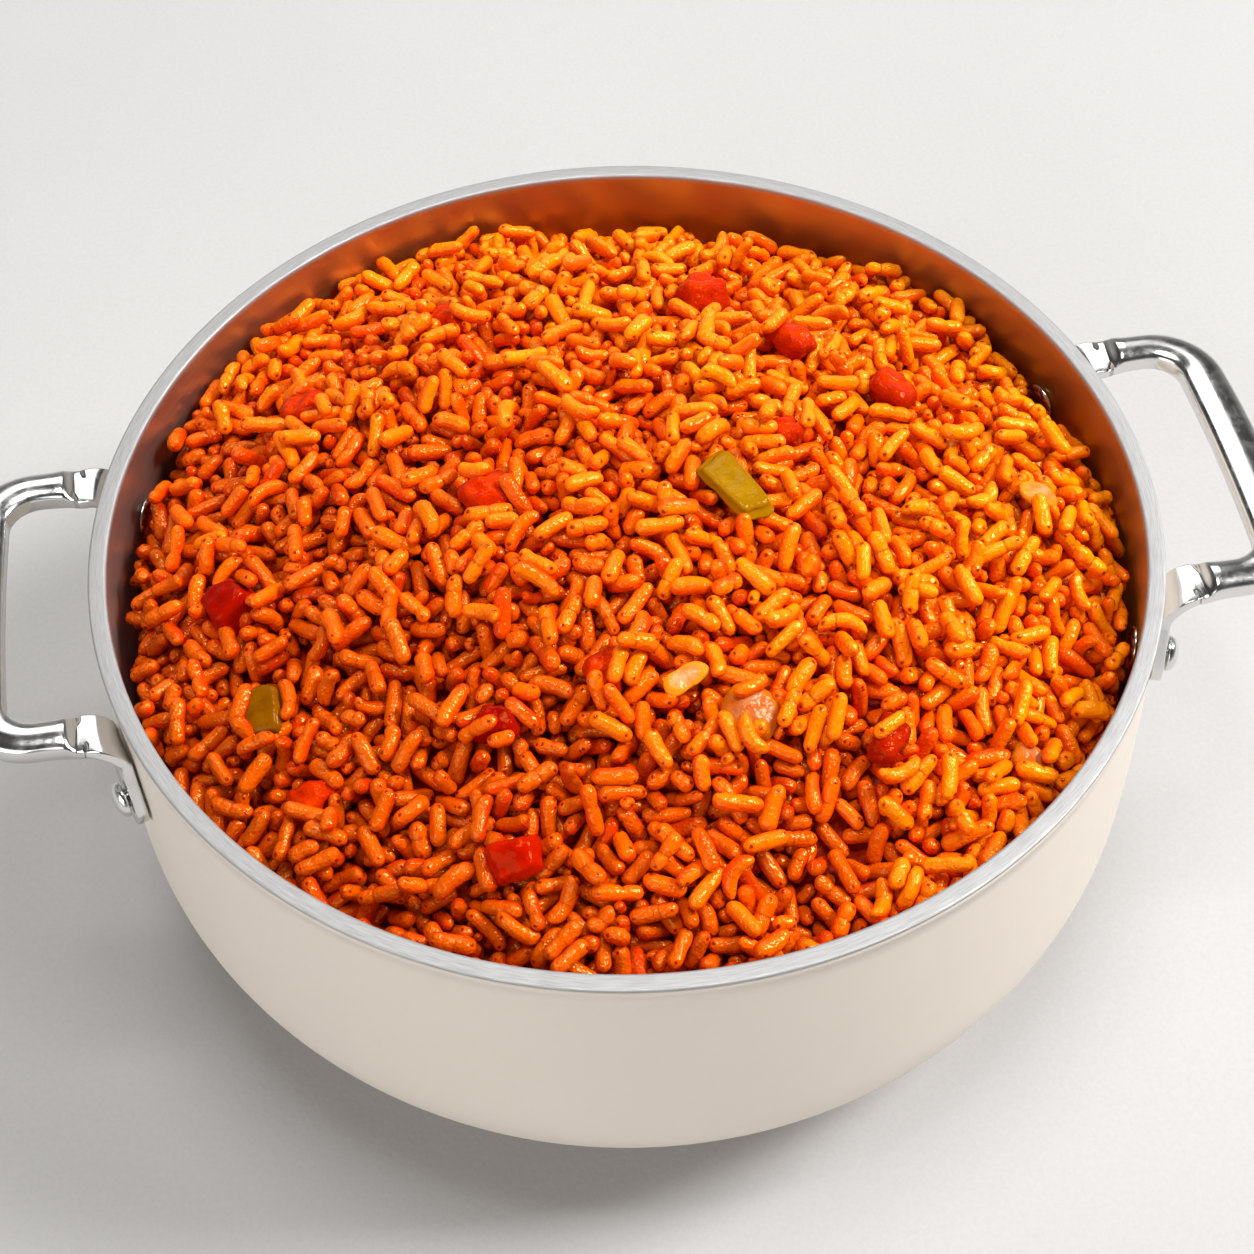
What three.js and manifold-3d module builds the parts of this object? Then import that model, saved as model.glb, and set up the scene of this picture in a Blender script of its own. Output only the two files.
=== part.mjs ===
// Jollof rice, heaped in the round casserole pot that it was cooked in.
//
// Millimetres, +Z up. The origin is the middle of the pot's flat base, and the
// two loop handles lie along X. The pot is one thin-walled solid with a bare
// metal rim; each handle is a forged loop whose ends turn down into flat feet,
// held by rivets that go through the wall; the heap of rice fills the pot, with
// bumps the size of a grain, and has recesses where the vegetables lie in it.

import * as THREE from 'three';
import { mergeVertices } from 'three/addons/utils/BufferGeometryUtils.js';
import Module from 'manifold-3d';

const wasm = await Module();
wasm.setup();

// ---- Driving dimensions -----------------------------------------------------

const GAP = 0.35;               // between pieces that touch
const ROUND = 52;               // facets round the pot

const RIM_HEIGHT = 110;         // base to rim
const RIM_RADIUS = 125.5;       // outer edge of the bare rim
const MOUTH_RADIUS = 121.3;     // inner edge of the rim
const NECK_RADIUS = 124.8;      // painted wall just under the rim
const NECK_HEIGHT = 106.8;
const BELLY_RADIUS = 126.8;     // where the upright wall meets the round bottom
const BASE_RADIUS = 77;         // flat base
const FOOT_STEP = 1.2;          // low step round the base
const BOTTOM_ROUND = BELLY_RADIUS - BASE_RADIUS;
const BELLY_HEIGHT = FOOT_STEP + BOTTOM_ROUND;
const WALL = 3.4;

const HANDLE_LEVEL = 101.6;     // underside of the handles
const GRIP_REACH = 156.9;       // outer edge of the grip, from the pot's axis
const GRIP_WIDTH = 11;
const GRIP_BOW = 0.9;           // middle of the grip beyond its ends
const GRIP_TAPER = 0.6;         // and wider than its ends
const LEG_WIDTH = 8.4;
const LEG_OFFSET = 37.4;        // middle of a leg, from the handle's own middle
const CORNER_ROUND = 12;        // middle line of the loop's corners
const BAR_SIDE = 3.5;           // upright side face of the bar
const BAR_CROWN = 1.9;          // rounded top of the bar, above its side face
const PLATE = 2.8;              // thickness of a foot
const PLATE_WIDTH = 12;
const BEND_ROUND = 5;           // inside of the bend from leg to foot
const FOOT_TOP_TURN = 17.6;     // degrees from the handle's middle, at the bend
const RIVET_TURN = 19.5;        // degrees from the handle's middle, at the rivet
const RIVET_HEIGHT = 86;
const FOOT_END_HEIGHT = 79.5;

const RIVET_SHANK = 2.2;        // radii
const RIVET_HOLE = 2.6;
const OUTER_HEAD = { radius: 4.25, height: 2.8 };
const INNER_HEAD = { radius: 5.5, height: 1.9 };
const HEAD_SETBACK = 0.2;       // seat of a head off a curved face, on top of the gap

const HEAP_EDGE_DROP = 17;      // rim down to the rice at the wall
const HEAP_RISE = 33;           // rice at the wall up to the crown
const HEAP_RADIUS = 120;
const TOP_RING_RADIUS = 119.6;  // last ring of the bumpy top
const EDGE_BEVEL = 5;           // height of the rice's rounded edge at the wall
const RICE_GAP = 0.6;           // rice to pot, facets of both included
const GRAIN_STEP = 5;           // half a grain, the spacing of the bumps
const GRAIN_HIGH = 1.3;         // grains above the smooth heap
const FURROW_DEPTH = 1;         // furrows below it
const RECESS_GAP = 0.4;         // rice round a vegetable piece

const RICE_SEED = 4127;

// Vegetable pieces: place on the heap from above (x, y), length, width and
// thickness, squareness of the corners (2 is an ellipsoid), the turn of the
// length about Z in degrees and how far the middle stands above the rice.
const TOMATOES = [
  { x: 30.1, y: 66.0, size: [14, 12, 8], square: 2.6, turn: 35, lift: 0.6 },
  { x: -33.9, y: 68.8, size: [13, 9, 7], square: 2.5, turn: -10, lift: 0.4 },
  { x: -71.7, y: 46.6, size: [12, 11, 8], square: 2.7, turn: 60, lift: 0.6 },
  { x: -31.7, y: 0.3, size: [12, 10, 7.5], square: 2.6, turn: 20, lift: 0.5 },
  { x: 47.4, y: 43.2, size: [14, 8, 7], square: 2.5, turn: -48, lift: 0.4 },
  { x: 70.0, y: 26.6, size: [13, 10, 7], square: 2.8, turn: -62, lift: 0.5 },
  { x: 40.0, y: 10.2, size: [9, 7, 6], square: 2.4, turn: 30, lift: 0.2 },
  { x: -12.7, y: -52.4, size: [10, 9, 7], square: 2.6, turn: 80, lift: 0.4 },
  { x: -79.2, y: -62.1, size: [11, 8, 6.5], square: 2.5, turn: 15, lift: 0.2 },
  { x: 46.2, y: -72.5, size: [12, 8, 7], square: 2.5, turn: 55, lift: 0.2 },
];
const RED_PEPPERS = [
  { x: -93.7, y: -7.0, size: [11.5, 10, 8], square: 4.5, turn: 28, lift: 0.4 },
  { x: -37.2, y: -57.7, size: [9, 7, 6], square: 4, turn: -20, lift: 0.1 },
  { x: -37.7, y: -87.7, size: [11, 8.5, 7.5], square: 4.5, turn: 8, lift: 1.2 },
];
const GREEN_PEPPERS = [
  { x: 23.4, y: -9.8, size: [17, 8.8, 2.6], square: 6, turn: -61, lift: 2.3 },
  { x: -87.0, y: -39.1, size: [12, 8.5, 5], square: 4.5, turn: 78, lift: 0.9 },
];
const ONIONS = [
  { x: 4.1, y: -55.8, size: [10, 5.5, 2.8], square: 2.6, turn: 28, lift: 1.7 },
  { x: 17.0, y: -64.7, size: [14, 11, 5], square: 2.6, turn: -25, lift: 0.7 },
  { x: 78.4, y: -76.0, size: [11, 6, 3.4], square: 2.5, turn: -32, lift: 1.3 },
  { x: 97.9, y: -7.5, size: [10, 7.5, 3.2], square: 2.6, turn: -20, lift: 1.3 },
  { x: 29.3, y: 32.9, size: [9, 7.5, 5], square: 2.4, turn: 70, lift: 0.6 },
];

// ---- Materials --------------------------------------------------------------

const finish = (color, roughness, metalness) =>
  new THREE.MeshStandardMaterial({ color, roughness, metalness });

const CREAM_PAINT = finish(0xcfc3b5, 0.45, 0);
const POLISHED_STEEL = finish(0xc9c8c6, 0.2, 1);
const COOKED_RICE = finish(0xe8650c, 0.4, 0);
const COOKED_TOMATO = finish(0xc9200c, 0.25, 0);
const RED_PEPPER = finish(0xc8160c, 0.2, 0);
const GREEN_PEPPER = finish(0x8a7a1c, 0.2, 0);
const COOKED_ONION = finish(0xd9903a, 0.3, 0);

// ---- Helpers ----------------------------------------------------------------

const radians = THREE.MathUtils.degToRad;

// The same numbers between 0 and 1 on every run.
function seededRandom(seed) {
  let state = seed;
  return () => {
    state = (state + 0x6d2b79f5) | 0;
    let mixed = Math.imul(state ^ (state >>> 15), 1 | state);
    mixed = (mixed + Math.imul(mixed ^ (mixed >>> 7), 61 | mixed)) ^ mixed;
    return ((mixed ^ (mixed >>> 14)) >>> 0) / 4294967296;
  };
}

function indexedGeometry(points, triangles) {
  const geometry = new THREE.BufferGeometry();
  const flat = points.flatMap((point) => [point.x, point.y, point.z]);
  geometry.setAttribute('position', new THREE.Float32BufferAttribute(flat, 3));
  geometry.setIndex(triangles.flat());
  return geometry;
}

// Merged vertices and no slivers, so that the faces close on each other.
function closed(geometry) {
  const bare = geometry.clone();
  bare.deleteAttribute('normal');
  bare.deleteAttribute('uv');
  const merged = mergeVertices(bare, 1e-3);
  const index = merged.getIndex().array;
  const kept = [];
  for (let i = 0; i < index.length; i += 3) {
    const [a, b, c] = index.slice(i, i + 3);
    if (a !== b && b !== c && c !== a) {
      kept.push(a, b, c);
    }
  }
  merged.setIndex(kept);
  return merged;
}

function toSolid(geometry) {
  const merged = closed(geometry);
  return new wasm.Manifold(new wasm.Mesh({
    numProp: 3,
    vertProperties: new Float32Array(merged.getAttribute('position').array),
    triVerts: new Uint32Array(merged.getIndex().array),
  }));
}

function toGeometry(solid) {
  const { numProp, vertProperties, triVerts } = solid.getMesh();
  const geometry = new THREE.BufferGeometry();
  const positions = [];
  for (let i = 0; i < vertProperties.length; i += numProp) {
    positions.push(vertProperties[i], vertProperties[i + 1], vertProperties[i + 2]);
  }
  geometry.setAttribute('position', new THREE.Float32BufferAttribute(positions, 3));
  geometry.setIndex(Array.from(triVerts));
  return geometry;
}

// What is left of a geometry once all the cutters have been taken out of it.
function cutAway(geometry, cutters) {
  let solid = toSolid(geometry);
  for (const cutter of cutters) {
    solid = solid.subtract(toSolid(cutter));
  }
  return toGeometry(solid);
}

// A turned shape about Z: the profile runs in [radius, height] from the axis,
// out and round, and back to the axis.
function turned(profile, facets) {
  const points = profile.map(([radius, height]) => new THREE.Vector2(radius, height));
  return new THREE.LatheGeometry(points, facets).rotateX(Math.PI / 2);
}

// Points of an ellipse's quarter in [radius, height], about a centre.
function arcPoints([radius, height], size, fromDegrees, toDegrees, count) {
  return Array.from({ length: count + 1 }, (_, i) => {
    const angle = radians(fromDegrees + ((toDegrees - fromDegrees) * i) / count);
    return [radius + size * Math.cos(angle), height + size * Math.sin(angle)];
  });
}

// The outside of the upright wall: nearly straight, with a slight belly.
function wallRadius(height) {
  const climb = (height - BELLY_HEIGHT) / (NECK_HEIGHT - BELLY_HEIGHT);
  return BELLY_RADIUS - (BELLY_RADIUS - NECK_RADIUS) * Math.max(climb, 0) ** 2;
}

function around(radius, degrees, height) {
  const angle = radians(degrees);
  return new THREE.Vector3(radius * Math.cos(angle), radius * Math.sin(angle), height);
}

// ---- Pot --------------------------------------------------------------------

const RIVET_TURNS = [RIVET_TURN, -RIVET_TURN, 180 + RIVET_TURN, 180 - RIVET_TURN];

// A bar along the radius at a rivet's place, between two distances from the axis.
function radialBar(radius, from, to, degrees, facets) {
  const bar = new THREE.CylinderGeometry(radius, radius, to - from, facets);
  bar.rotateZ(-Math.PI / 2).translate((from + to) / 2, 0, RIVET_HEIGHT);
  return bar.rotateZ(radians(degrees));
}

function potGeometry() {
  const wallSteps = [1, 2, 3].map(
    (step) => BELLY_HEIGHT + ((NECK_HEIGHT - BELLY_HEIGHT) * step) / 3,
  );
  const outside = [
    [0, 0],
    [BASE_RADIUS - 0.8, 0],
    [BASE_RADIUS, FOOT_STEP],
    ...arcPoints([BASE_RADIUS, BELLY_HEIGHT], BOTTOM_ROUND, -82, 0, 5),
    ...wallSteps.map((height) => [wallRadius(height), height]),
  ];
  const rim = [
    [RIM_RADIUS, NECK_HEIGHT + 0.5],
    [RIM_RADIUS, NECK_HEIGHT + 1.8],
    [RIM_RADIUS - 0.5, RIM_HEIGHT - 0.7],
    [RIM_RADIUS - 2.2, RIM_HEIGHT - 0.2],
    [MOUTH_RADIUS + 0.7, RIM_HEIGHT],
    [MOUTH_RADIUS, RIM_HEIGHT - 0.3],
  ];
  const inside = [
    ...wallSteps.toReversed().map((height) => [wallRadius(height) - WALL, height]),
    ...arcPoints([BASE_RADIUS, BELLY_HEIGHT], BOTTOM_ROUND - WALL, 0, -90, 4),
    [0, FOOT_STEP + WALL],
  ];
  const holes = RIVET_TURNS.map((turn) => radialBar(RIVET_HOLE, 115, 135, turn, 12));
  return cutAway(turned([...outside, ...rim, ...inside], ROUND), holes);
}

// ---- Handles ----------------------------------------------------------------

// One station of the handle: the middle of its underside, the direction across
// it, its width, and the heights of its side faces and of its rounded top.
function station(point, across, width, side, crown) {
  return { point, across, width, side, crown };
}

// Half of the loop, from the middle of the grip to the end of one foot.
function halfLoop() {
  const gripMiddle = GRIP_REACH - GRIP_WIDTH / 2;
  const cornerX = gripMiddle - GRIP_BOW - CORNER_ROUND;
  const cornerY = LEG_OFFSET - CORNER_ROUND;
  const stations = [];

  const gripSteps = 3;
  for (let i = 0; i < gripSteps; i++) {
    const y = (cornerY * i) / gripSteps;
    const x = gripMiddle - GRIP_BOW * (y / cornerY) ** 2;
    const width = GRIP_WIDTH - GRIP_TAPER * (y / cornerY) ** 2;
    const point = new THREE.Vector3(x, y, HANDLE_LEVEL);
    stations.push(station(point, new THREE.Vector3(1, 0, 0), width, BAR_SIDE, BAR_CROWN));
  }

  const cornerSteps = 6;
  for (let i = 0; i <= cornerSteps; i++) {
    const share = i / cornerSteps;
    const angle = (share * Math.PI) / 2;
    const across = new THREE.Vector3(Math.cos(angle), Math.sin(angle), 0);
    const middle = new THREE.Vector3(cornerX, cornerY, HANDLE_LEVEL);
    const point = middle.addScaledVector(across, CORNER_ROUND);
    const width = THREE.MathUtils.lerp(GRIP_WIDTH - GRIP_TAPER, LEG_WIDTH, share);
    stations.push(station(point, across, width, BAR_SIDE, BAR_CROWN));
  }

  const footTop = footPoint(0);
  const bendStart = footTop.clone().add(new THREE.Vector3(BEND_ROUND, -1.8, BEND_ROUND));
  const legEnd = bendStart.x + 4.5;
  for (const x of [THREE.MathUtils.lerp(cornerX, legEnd, 0.5), legEnd]) {
    const point = new THREE.Vector3(x, LEG_OFFSET, HANDLE_LEVEL);
    const width = x === legEnd ? LEG_WIDTH + 0.6 : LEG_WIDTH;
    stations.push(station(point, new THREE.Vector3(0, 1, 0), width, BAR_SIDE, BAR_CROWN));
  }

  // The rounded top runs out in a short scoop, and the plate bends down.
  stations.push(station(
    new THREE.Vector3(bendStart.x + 2.4, LEG_OFFSET + 0.1, HANDLE_LEVEL),
    new THREE.Vector3(0, 1, 0), LEG_WIDTH + 1.4, PLATE + 0.3, 1.2,
  ));
  const wallTangent = around(1, FOOT_TOP_TURN + 90, 0);
  const bendSteps = 5;
  for (let i = 0; i <= bendSteps; i++) {
    const share = i / bendSteps;
    const angle = (share * Math.PI) / 2;
    const across = new THREE.Vector3(0, 1, 0).lerp(wallTangent, share).normalize();
    const point = new THREE.Vector3(
      THREE.MathUtils.lerp(bendStart.x, footTop.x, Math.sin(angle)),
      THREE.MathUtils.lerp(bendStart.y, footTop.y, share),
      THREE.MathUtils.lerp(footTop.z, HANDLE_LEVEL, Math.cos(angle)),
    );
    const width = THREE.MathUtils.lerp(LEG_WIDTH + 2, PLATE_WIDTH, share);
    stations.push(station(point, across, width, PLATE - 0.1, 0.1));
  }

  // The foot follows the wall down, and ends in a half circle round its rivet.
  const endRound = PLATE_WIDTH / 2;
  for (const drop of [0.3, 0.62, 0.78, 0.88, 0.95, 0.99]) {
    const turn = footTurn(drop);
    const toEnd = (1 - drop) * (footTop.z - FOOT_END_HEIGHT);
    const short = Math.max(endRound - toEnd, 0);
    const width = 2 * Math.sqrt(endRound ** 2 - short ** 2);
    const across = around(1, turn + 90, 0);
    stations.push(station(footPoint(drop), across, width, PLATE - 0.1, 0.1));
  }
  return stations;
}

// The foot leans outwards on its way down from the bend to its end.
function footTurn(drop) {
  const lean = (RIVET_TURN - FOOT_TOP_TURN) / (RIVET_HEIGHT - HANDLE_LEVEL + BEND_ROUND);
  return FOOT_TOP_TURN + lean * (FOOT_END_HEIGHT - HANDLE_LEVEL + BEND_ROUND) * drop;
}

// The outer face of the foot, a share of the way down.
function footPoint(drop) {
  const height = THREE.MathUtils.lerp(HANDLE_LEVEL - BEND_ROUND, FOOT_END_HEIGHT, drop);
  return around(wallRadius(height) + GAP + PLATE, footTurn(drop), height);
}

function mirrored({ point, across, ...sizes }) {
  const flip = new THREE.Vector3(1, -1, 1);
  const back = across.clone().multiply(flip);
  return station(point.clone().multiply(flip), back, sizes.width, sizes.side, sizes.crown);
}

// The outline of the bar at a station, in [across, up]: flat underside, upright
// sides and a rounded top.
function barOutline({ width, side, crown }) {
  const half = width / 2;
  const top = [40, 90, 140].map((degrees) => {
    const angle = radians(degrees);
    return [half * Math.cos(angle), side + crown * Math.sin(angle)];
  });
  return [[-half, 0], [half, 0], [half, side], ...top, [-half, side]];
}

function handleGeometry() {
  const half = halfLoop();
  const stations = [...half.toReversed().map(mirrored), ...half.slice(1)];
  const points = [];
  const triangles = [];
  const corners = barOutline(stations[0]).length;
  stations.forEach((here, i) => {
    const before = stations[Math.max(i - 1, 0)].point;
    const after = stations[Math.min(i + 1, stations.length - 1)].point;
    const along = after.clone().sub(before).normalize();
    const across = here.across.clone();
    across.addScaledVector(along, -across.dot(along)).normalize();
    const up = across.clone().cross(along);
    for (const [sideways, upwards] of barOutline(here)) {
      const point = here.point.clone().addScaledVector(across, sideways);
      points.push(point.addScaledVector(up, upwards));
    }
    if (i > 0) {
      for (let k = 0; k < corners; k++) {
        const near = (i - 1) * corners;
        const far = i * corners;
        const next = (k + 1) % corners;
        triangles.push([near + k, far + next, near + next]);
        triangles.push([near + k, far + k, far + next]);
      }
    }
  });
  const last = (stations.length - 1) * corners;
  for (let k = 1; k < corners - 1; k++) {
    triangles.push([0, k, k + 1]);
    triangles.push([last, last + k + 1, last + k]);
  }
  const holes = [RIVET_TURN, -RIVET_TURN].map(
    (turn) => radialBar(RIVET_HOLE, 120, 135, turn, 12),
  );
  return cutAway(indexedGeometry(points, triangles), holes);
}

// ---- Rivets -----------------------------------------------------------------

// Distance from the pot's axis to the back of a rivet's inner head.
function innerHeadSeat() {
  return wallRadius(RIVET_HEIGHT) - WALL - GAP - HEAD_SETBACK;
}

// Along its axis from inside the pot: broad flat head, shank, domed outer head.
function rivetGeometry() {
  const innerSeat = innerHeadSeat();
  const outerSeat = wallRadius(RIVET_HEIGHT) + GAP + PLATE + GAP + HEAD_SETBACK;
  const inner = INNER_HEAD;
  const outer = OUTER_HEAD;
  const profile = [
    [0, innerSeat - inner.height],
    [inner.radius * 0.55, innerSeat - inner.height * 0.9],
    [inner.radius * 0.88, innerSeat - inner.height * 0.6],
    [inner.radius, innerSeat],
    [RIVET_SHANK, innerSeat],
    [RIVET_SHANK, outerSeat],
    [outer.radius, outerSeat],
    [outer.radius * 0.92, outerSeat + outer.height * 0.5],
    [outer.radius * 0.55, outerSeat + outer.height * 0.9],
    [0, outerSeat + outer.height],
  ];
  return turned(profile, 12).rotateY(Math.PI / 2);
}

// ---- Vegetable pieces -------------------------------------------------------

// A rounded block with slightly uneven faces, its length along X.
function chunkGeometry({ size, square }, seed, margin) {
  const geometry = new THREE.IcosahedronGeometry(1, 1);
  const position = geometry.getAttribute('position');
  const wave = seededRandom(seed);
  const phases = [wave(), wave(), wave()].map((share) => share * Math.PI * 2);
  const vertex = new THREE.Vector3();
  for (let i = 0; i < position.count; i++) {
    vertex.fromBufferAttribute(position, i).normalize();
    const powers = vertex.toArray().map((share) => Math.abs(share) ** square);
    const reach = (powers[0] + powers[1] + powers[2]) ** (-1 / square);
    const uneven = 1
      + 0.06 * Math.sin(3 * vertex.x + phases[0])
      + 0.06 * Math.sin(3 * vertex.y + phases[1])
      + 0.04 * Math.sin(4 * vertex.z + phases[2]);
    vertex.multiplyScalar(reach * uneven);
    vertex.multiply(new THREE.Vector3(...size.map((length) => length / 2 + margin)));
    position.setXYZ(i, vertex.x, vertex.y, vertex.z);
  }
  return geometry;
}

// Every piece with its name, its seed and its place on the heap: it lies on the
// slope, turned about the slope's own upright.
function vegetablePieces() {
  const kinds = [
    { name: 'tomato', list: TOMATOES, material: COOKED_TOMATO },
    { name: 'red_pepper', list: RED_PEPPERS, material: RED_PEPPER },
    { name: 'green_pepper', list: GREEN_PEPPERS, material: GREEN_PEPPER },
    { name: 'onion', list: ONIONS, material: COOKED_ONION },
  ];
  return kinds.flatMap(({ name, list, material }, kind) => list.map((piece, i) => {
    const slope = heapNormal(piece.x, piece.y);
    const lay = new THREE.Quaternion().setFromUnitVectors(new THREE.Vector3(0, 0, 1), slope);
    const turn = new THREE.Quaternion().setFromAxisAngle(
      new THREE.Vector3(0, 0, 1), radians(piece.turn),
    );
    const place = new THREE.Vector3(piece.x, piece.y, heapHeight(piece.x, piece.y));
    return {
      name: `${name}_${i + 1}`,
      material,
      piece,
      seed: 100 * (kind + 1) + i,
      place: place.addScaledVector(slope, piece.lift),
      lay: lay.multiply(turn),
    };
  }));
}

// ---- Rice -------------------------------------------------------------------

// The heap's edge rises and falls a little round the wall, and dips by one rivet.
function edgeHeight(degrees) {
  const angle = radians(degrees);
  const uneven = 1.7 * Math.sin(3 * angle + 0.7) + 1.2 * Math.sin(7 * angle + 2.1);
  const offRivet = THREE.MathUtils.euclideanModulo(degrees - RIVET_TURN + 180, 360) - 180;
  const dip = 6 * Math.exp(-((offRivet / 8) ** 2));
  return RIM_HEIGHT - HEAP_EDGE_DROP + uneven - dip;
}

// The smooth heap under the grains: a shallow dome with a few soft lumps.
function heapHeight(x, y) {
  const radius = Math.hypot(x, y);
  const degrees = THREE.MathUtils.radToDeg(Math.atan2(y, x));
  const share = radius / HEAP_RADIUS;
  const lumps = 0.9 * Math.sin(x / 17 + 1.3) * Math.cos(y / 21) + 0.6 * Math.sin((x + y) / 11);
  const middle = RIM_HEIGHT - HEAP_EDGE_DROP;
  const edge = middle + (edgeHeight(degrees) - middle) * share ** 4;
  return edge + HEAP_RISE * (1 - share ** 2) + lumps * (1 - share ** 6);
}

function heapNormal(x, y) {
  const reach = 3;
  const slopeX = (heapHeight(x + reach, y) - heapHeight(x - reach, y)) / (2 * reach);
  const slopeY = (heapHeight(x, y + reach) - heapHeight(x, y - reach)) / (2 * reach);
  return new THREE.Vector3(-slopeX, -slopeY, 1).normalize();
}

// Rings of points from the crown out over the top, down the wall and in under
// the floor. Rings on the top carry grains.
function riceRings(random) {
  const rings = [];
  const rowStep = (GRAIN_STEP * Math.sqrt(3)) / 2;
  const rows = Math.round(TOP_RING_RADIUS / rowStep);
  for (let row = 0; row <= rows; row++) {
    const radius = (TOP_RING_RADIUS * row) / rows;
    const count = Math.max(Math.round((2 * Math.PI * radius) / GRAIN_STEP), 1);
    const phase = random();
    const inner = row < rows;
    rings.push(Array.from({ length: count }, (_, i) => {
      const share = (i + phase + (inner ? 0.3 * (random() - 0.5) : 0)) / count;
      const reach = radius + (inner && row > 0 ? 0.8 * (random() - 0.5) : 0);
      const point = around(reach, 360 * share, 0);
      point.z = heapHeight(point.x, point.y);
      return { point, grains: inner };
    }));
  }
  const alongWall = (degrees, height) => (
    { point: around(wallRadius(height) - WALL - RICE_GAP, degrees, height), grains: false }
  );
  const turns = Array.from({ length: ROUND }, (_, i) => (360 * i) / ROUND);
  rings.push(turns.map((degrees) => alongWall(degrees, edgeHeight(degrees) - EDGE_BEVEL)));
  rings.push(turns.map((degrees) => alongWall(degrees, (RIM_HEIGHT + BELLY_HEIGHT) / 2)));

  const inside = BOTTOM_ROUND - WALL - RICE_GAP;
  for (const [radius, height] of arcPoints([BASE_RADIUS, BELLY_HEIGHT], inside, 0, -90, 4)) {
    rings.push(turns.map(
      (degrees) => ({ point: around(radius, degrees, height), grains: false }),
    ));
  }
  rings.push([{ point: around(0, 0, FOOT_STEP + WALL + RICE_GAP), grains: false }]);
  return rings;
}

// Triangles between one ring of points and the next, taken in order of angle.
function stitch(inner, outer, triangles) {
  const angleOf = (ring, i) => {
    const turns = Math.floor(i / ring.length);
    const { point } = ring[i % ring.length];
    const angle = Math.atan2(point.y, point.x);
    return (angle < 0 ? angle + 2 * Math.PI : angle) + 2 * Math.PI * turns;
  };
  const sorted = (ring) => ring.toSorted((a, b) => angleOf([a], 0) - angleOf([b], 0));
  const near = inner.length > 1 ? sorted(inner) : inner;
  const far = outer.length > 1 ? sorted(outer) : outer;
  let i = 0;
  let k = 0;
  while (i < near.length || k < far.length) {
    const nearNext = near.length > 1 && i < near.length ? angleOf(near, i + 1) : Infinity;
    const farNext = far.length > 1 && k < far.length ? angleOf(far, k + 1) : Infinity;
    if (nearNext === Infinity && farNext === Infinity) {
      break;
    }
    const a = near[i % near.length].id;
    const b = far[k % far.length].id;
    if (farNext <= nearNext) {
      triangles.push([a, b, far[(k + 1) % far.length].id]);
      k += 1;
    } else {
      triangles.push([a, b, near[(i + 1) % near.length].id]);
      i += 1;
    }
  }
}

// Pairs of neighbouring points, each pair apart from the next, become grains;
// every point between them lies in a furrow.
function raiseGrains(vertices, triangles, random) {
  const neighbours = vertices.map(() => new Set());
  for (const [a, b, c] of triangles) {
    neighbours[a].add(b).add(c);
    neighbours[b].add(a).add(c);
    neighbours[c].add(a).add(b);
  }
  const pairs = [];
  vertices.forEach(({ id, grains }) => {
    for (const other of neighbours[id]) {
      if (id < other && grains && vertices[other].grains) {
        pairs.push({ id, other, order: random() });
      }
    }
  });
  pairs.sort((a, b) => a.order - b.order);
  const raised = new Set();
  for (const { id, other } of pairs) {
    const touching = [...neighbours[id], ...neighbours[other]];
    if (!touching.some((vertex) => raised.has(vertex))) {
      raised.add(id).add(other);
      const height = GRAIN_HIGH * (0.6 + 0.8 * random());
      vertices[id].point.z += height + FURROW_DEPTH;
      vertices[other].point.z += height + FURROW_DEPTH;
    }
  }
  vertices.filter(({ grains }) => grains).forEach(({ point }) => {
    point.z -= FURROW_DEPTH;
  });
}

function riceGeometry(pieces) {
  const random = seededRandom(RICE_SEED);
  const rings = riceRings(random);
  const vertices = rings.flat();
  vertices.forEach((vertex, id) => {
    vertex.id = id;
  });
  const triangles = [];
  for (let i = 1; i < rings.length; i++) {
    stitch(rings[i - 1], rings[i], triangles);
  }
  raiseGrains(vertices, triangles, random);
  const heap = indexedGeometry(vertices.map(({ point }) => point), triangles);

  const recesses = pieces.map(({ piece, seed, place, lay }) => {
    const recess = chunkGeometry(piece, seed, RECESS_GAP);
    return recess.applyQuaternion(lay).translate(place.x, place.y, place.z);
  });
  const headFace = innerHeadSeat() - INNER_HEAD.height;
  const headSpaces = RIVET_TURNS.map((turn) => radialBar(
    INNER_HEAD.radius + RICE_GAP, headFace - RICE_GAP, BELLY_RADIUS, turn, 12,
  ));
  return cutAway(heap, [...recesses, ...headSpaces]);
}

// ---- Assembly ---------------------------------------------------------------

function named(name, geometry, material) {
  const mesh = new THREE.Mesh(geometry, material);
  mesh.name = name;
  return mesh;
}

const potOfJollofRice = new THREE.Group();
potOfJollofRice.add(named('pot', potGeometry(), CREAM_PAINT));

[['handle_right', 0], ['handle_left', 180]].forEach(([name, degrees]) => {
  const handle = named(name, handleGeometry(), POLISHED_STEEL);
  handle.rotation.z = radians(degrees);
  potOfJollofRice.add(handle);
});

RIVET_TURNS.forEach((degrees, i) => {
  const rivet = named(`rivet_${i + 1}`, rivetGeometry(), POLISHED_STEEL);
  rivet.rotation.z = radians(degrees);
  rivet.position.z = RIVET_HEIGHT;
  potOfJollofRice.add(rivet);
});

const pieces = vegetablePieces();
potOfJollofRice.add(named('rice', riceGeometry(pieces), COOKED_RICE));
for (const { name, material, piece, seed, place, lay } of pieces) {
  const mesh = named(name, chunkGeometry(piece, seed, 0), material);
  mesh.position.copy(place);
  mesh.quaternion.copy(lay);
  potOfJollofRice.add(mesh);
}

export default potOfJollofRice;
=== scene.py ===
"""Jollof rice, heaped in the round casserole pot that it was cooked in.

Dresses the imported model. The pot gets its coating, its bare rim and its turned
inside, the handles and rivets their polish, and the heap its separate grains,
which are let down onto a core and pushed apart until they lie on each other.
Sizes are in millimetres until a mesh is made; Blender's own units are metres.
"""

import math

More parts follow.
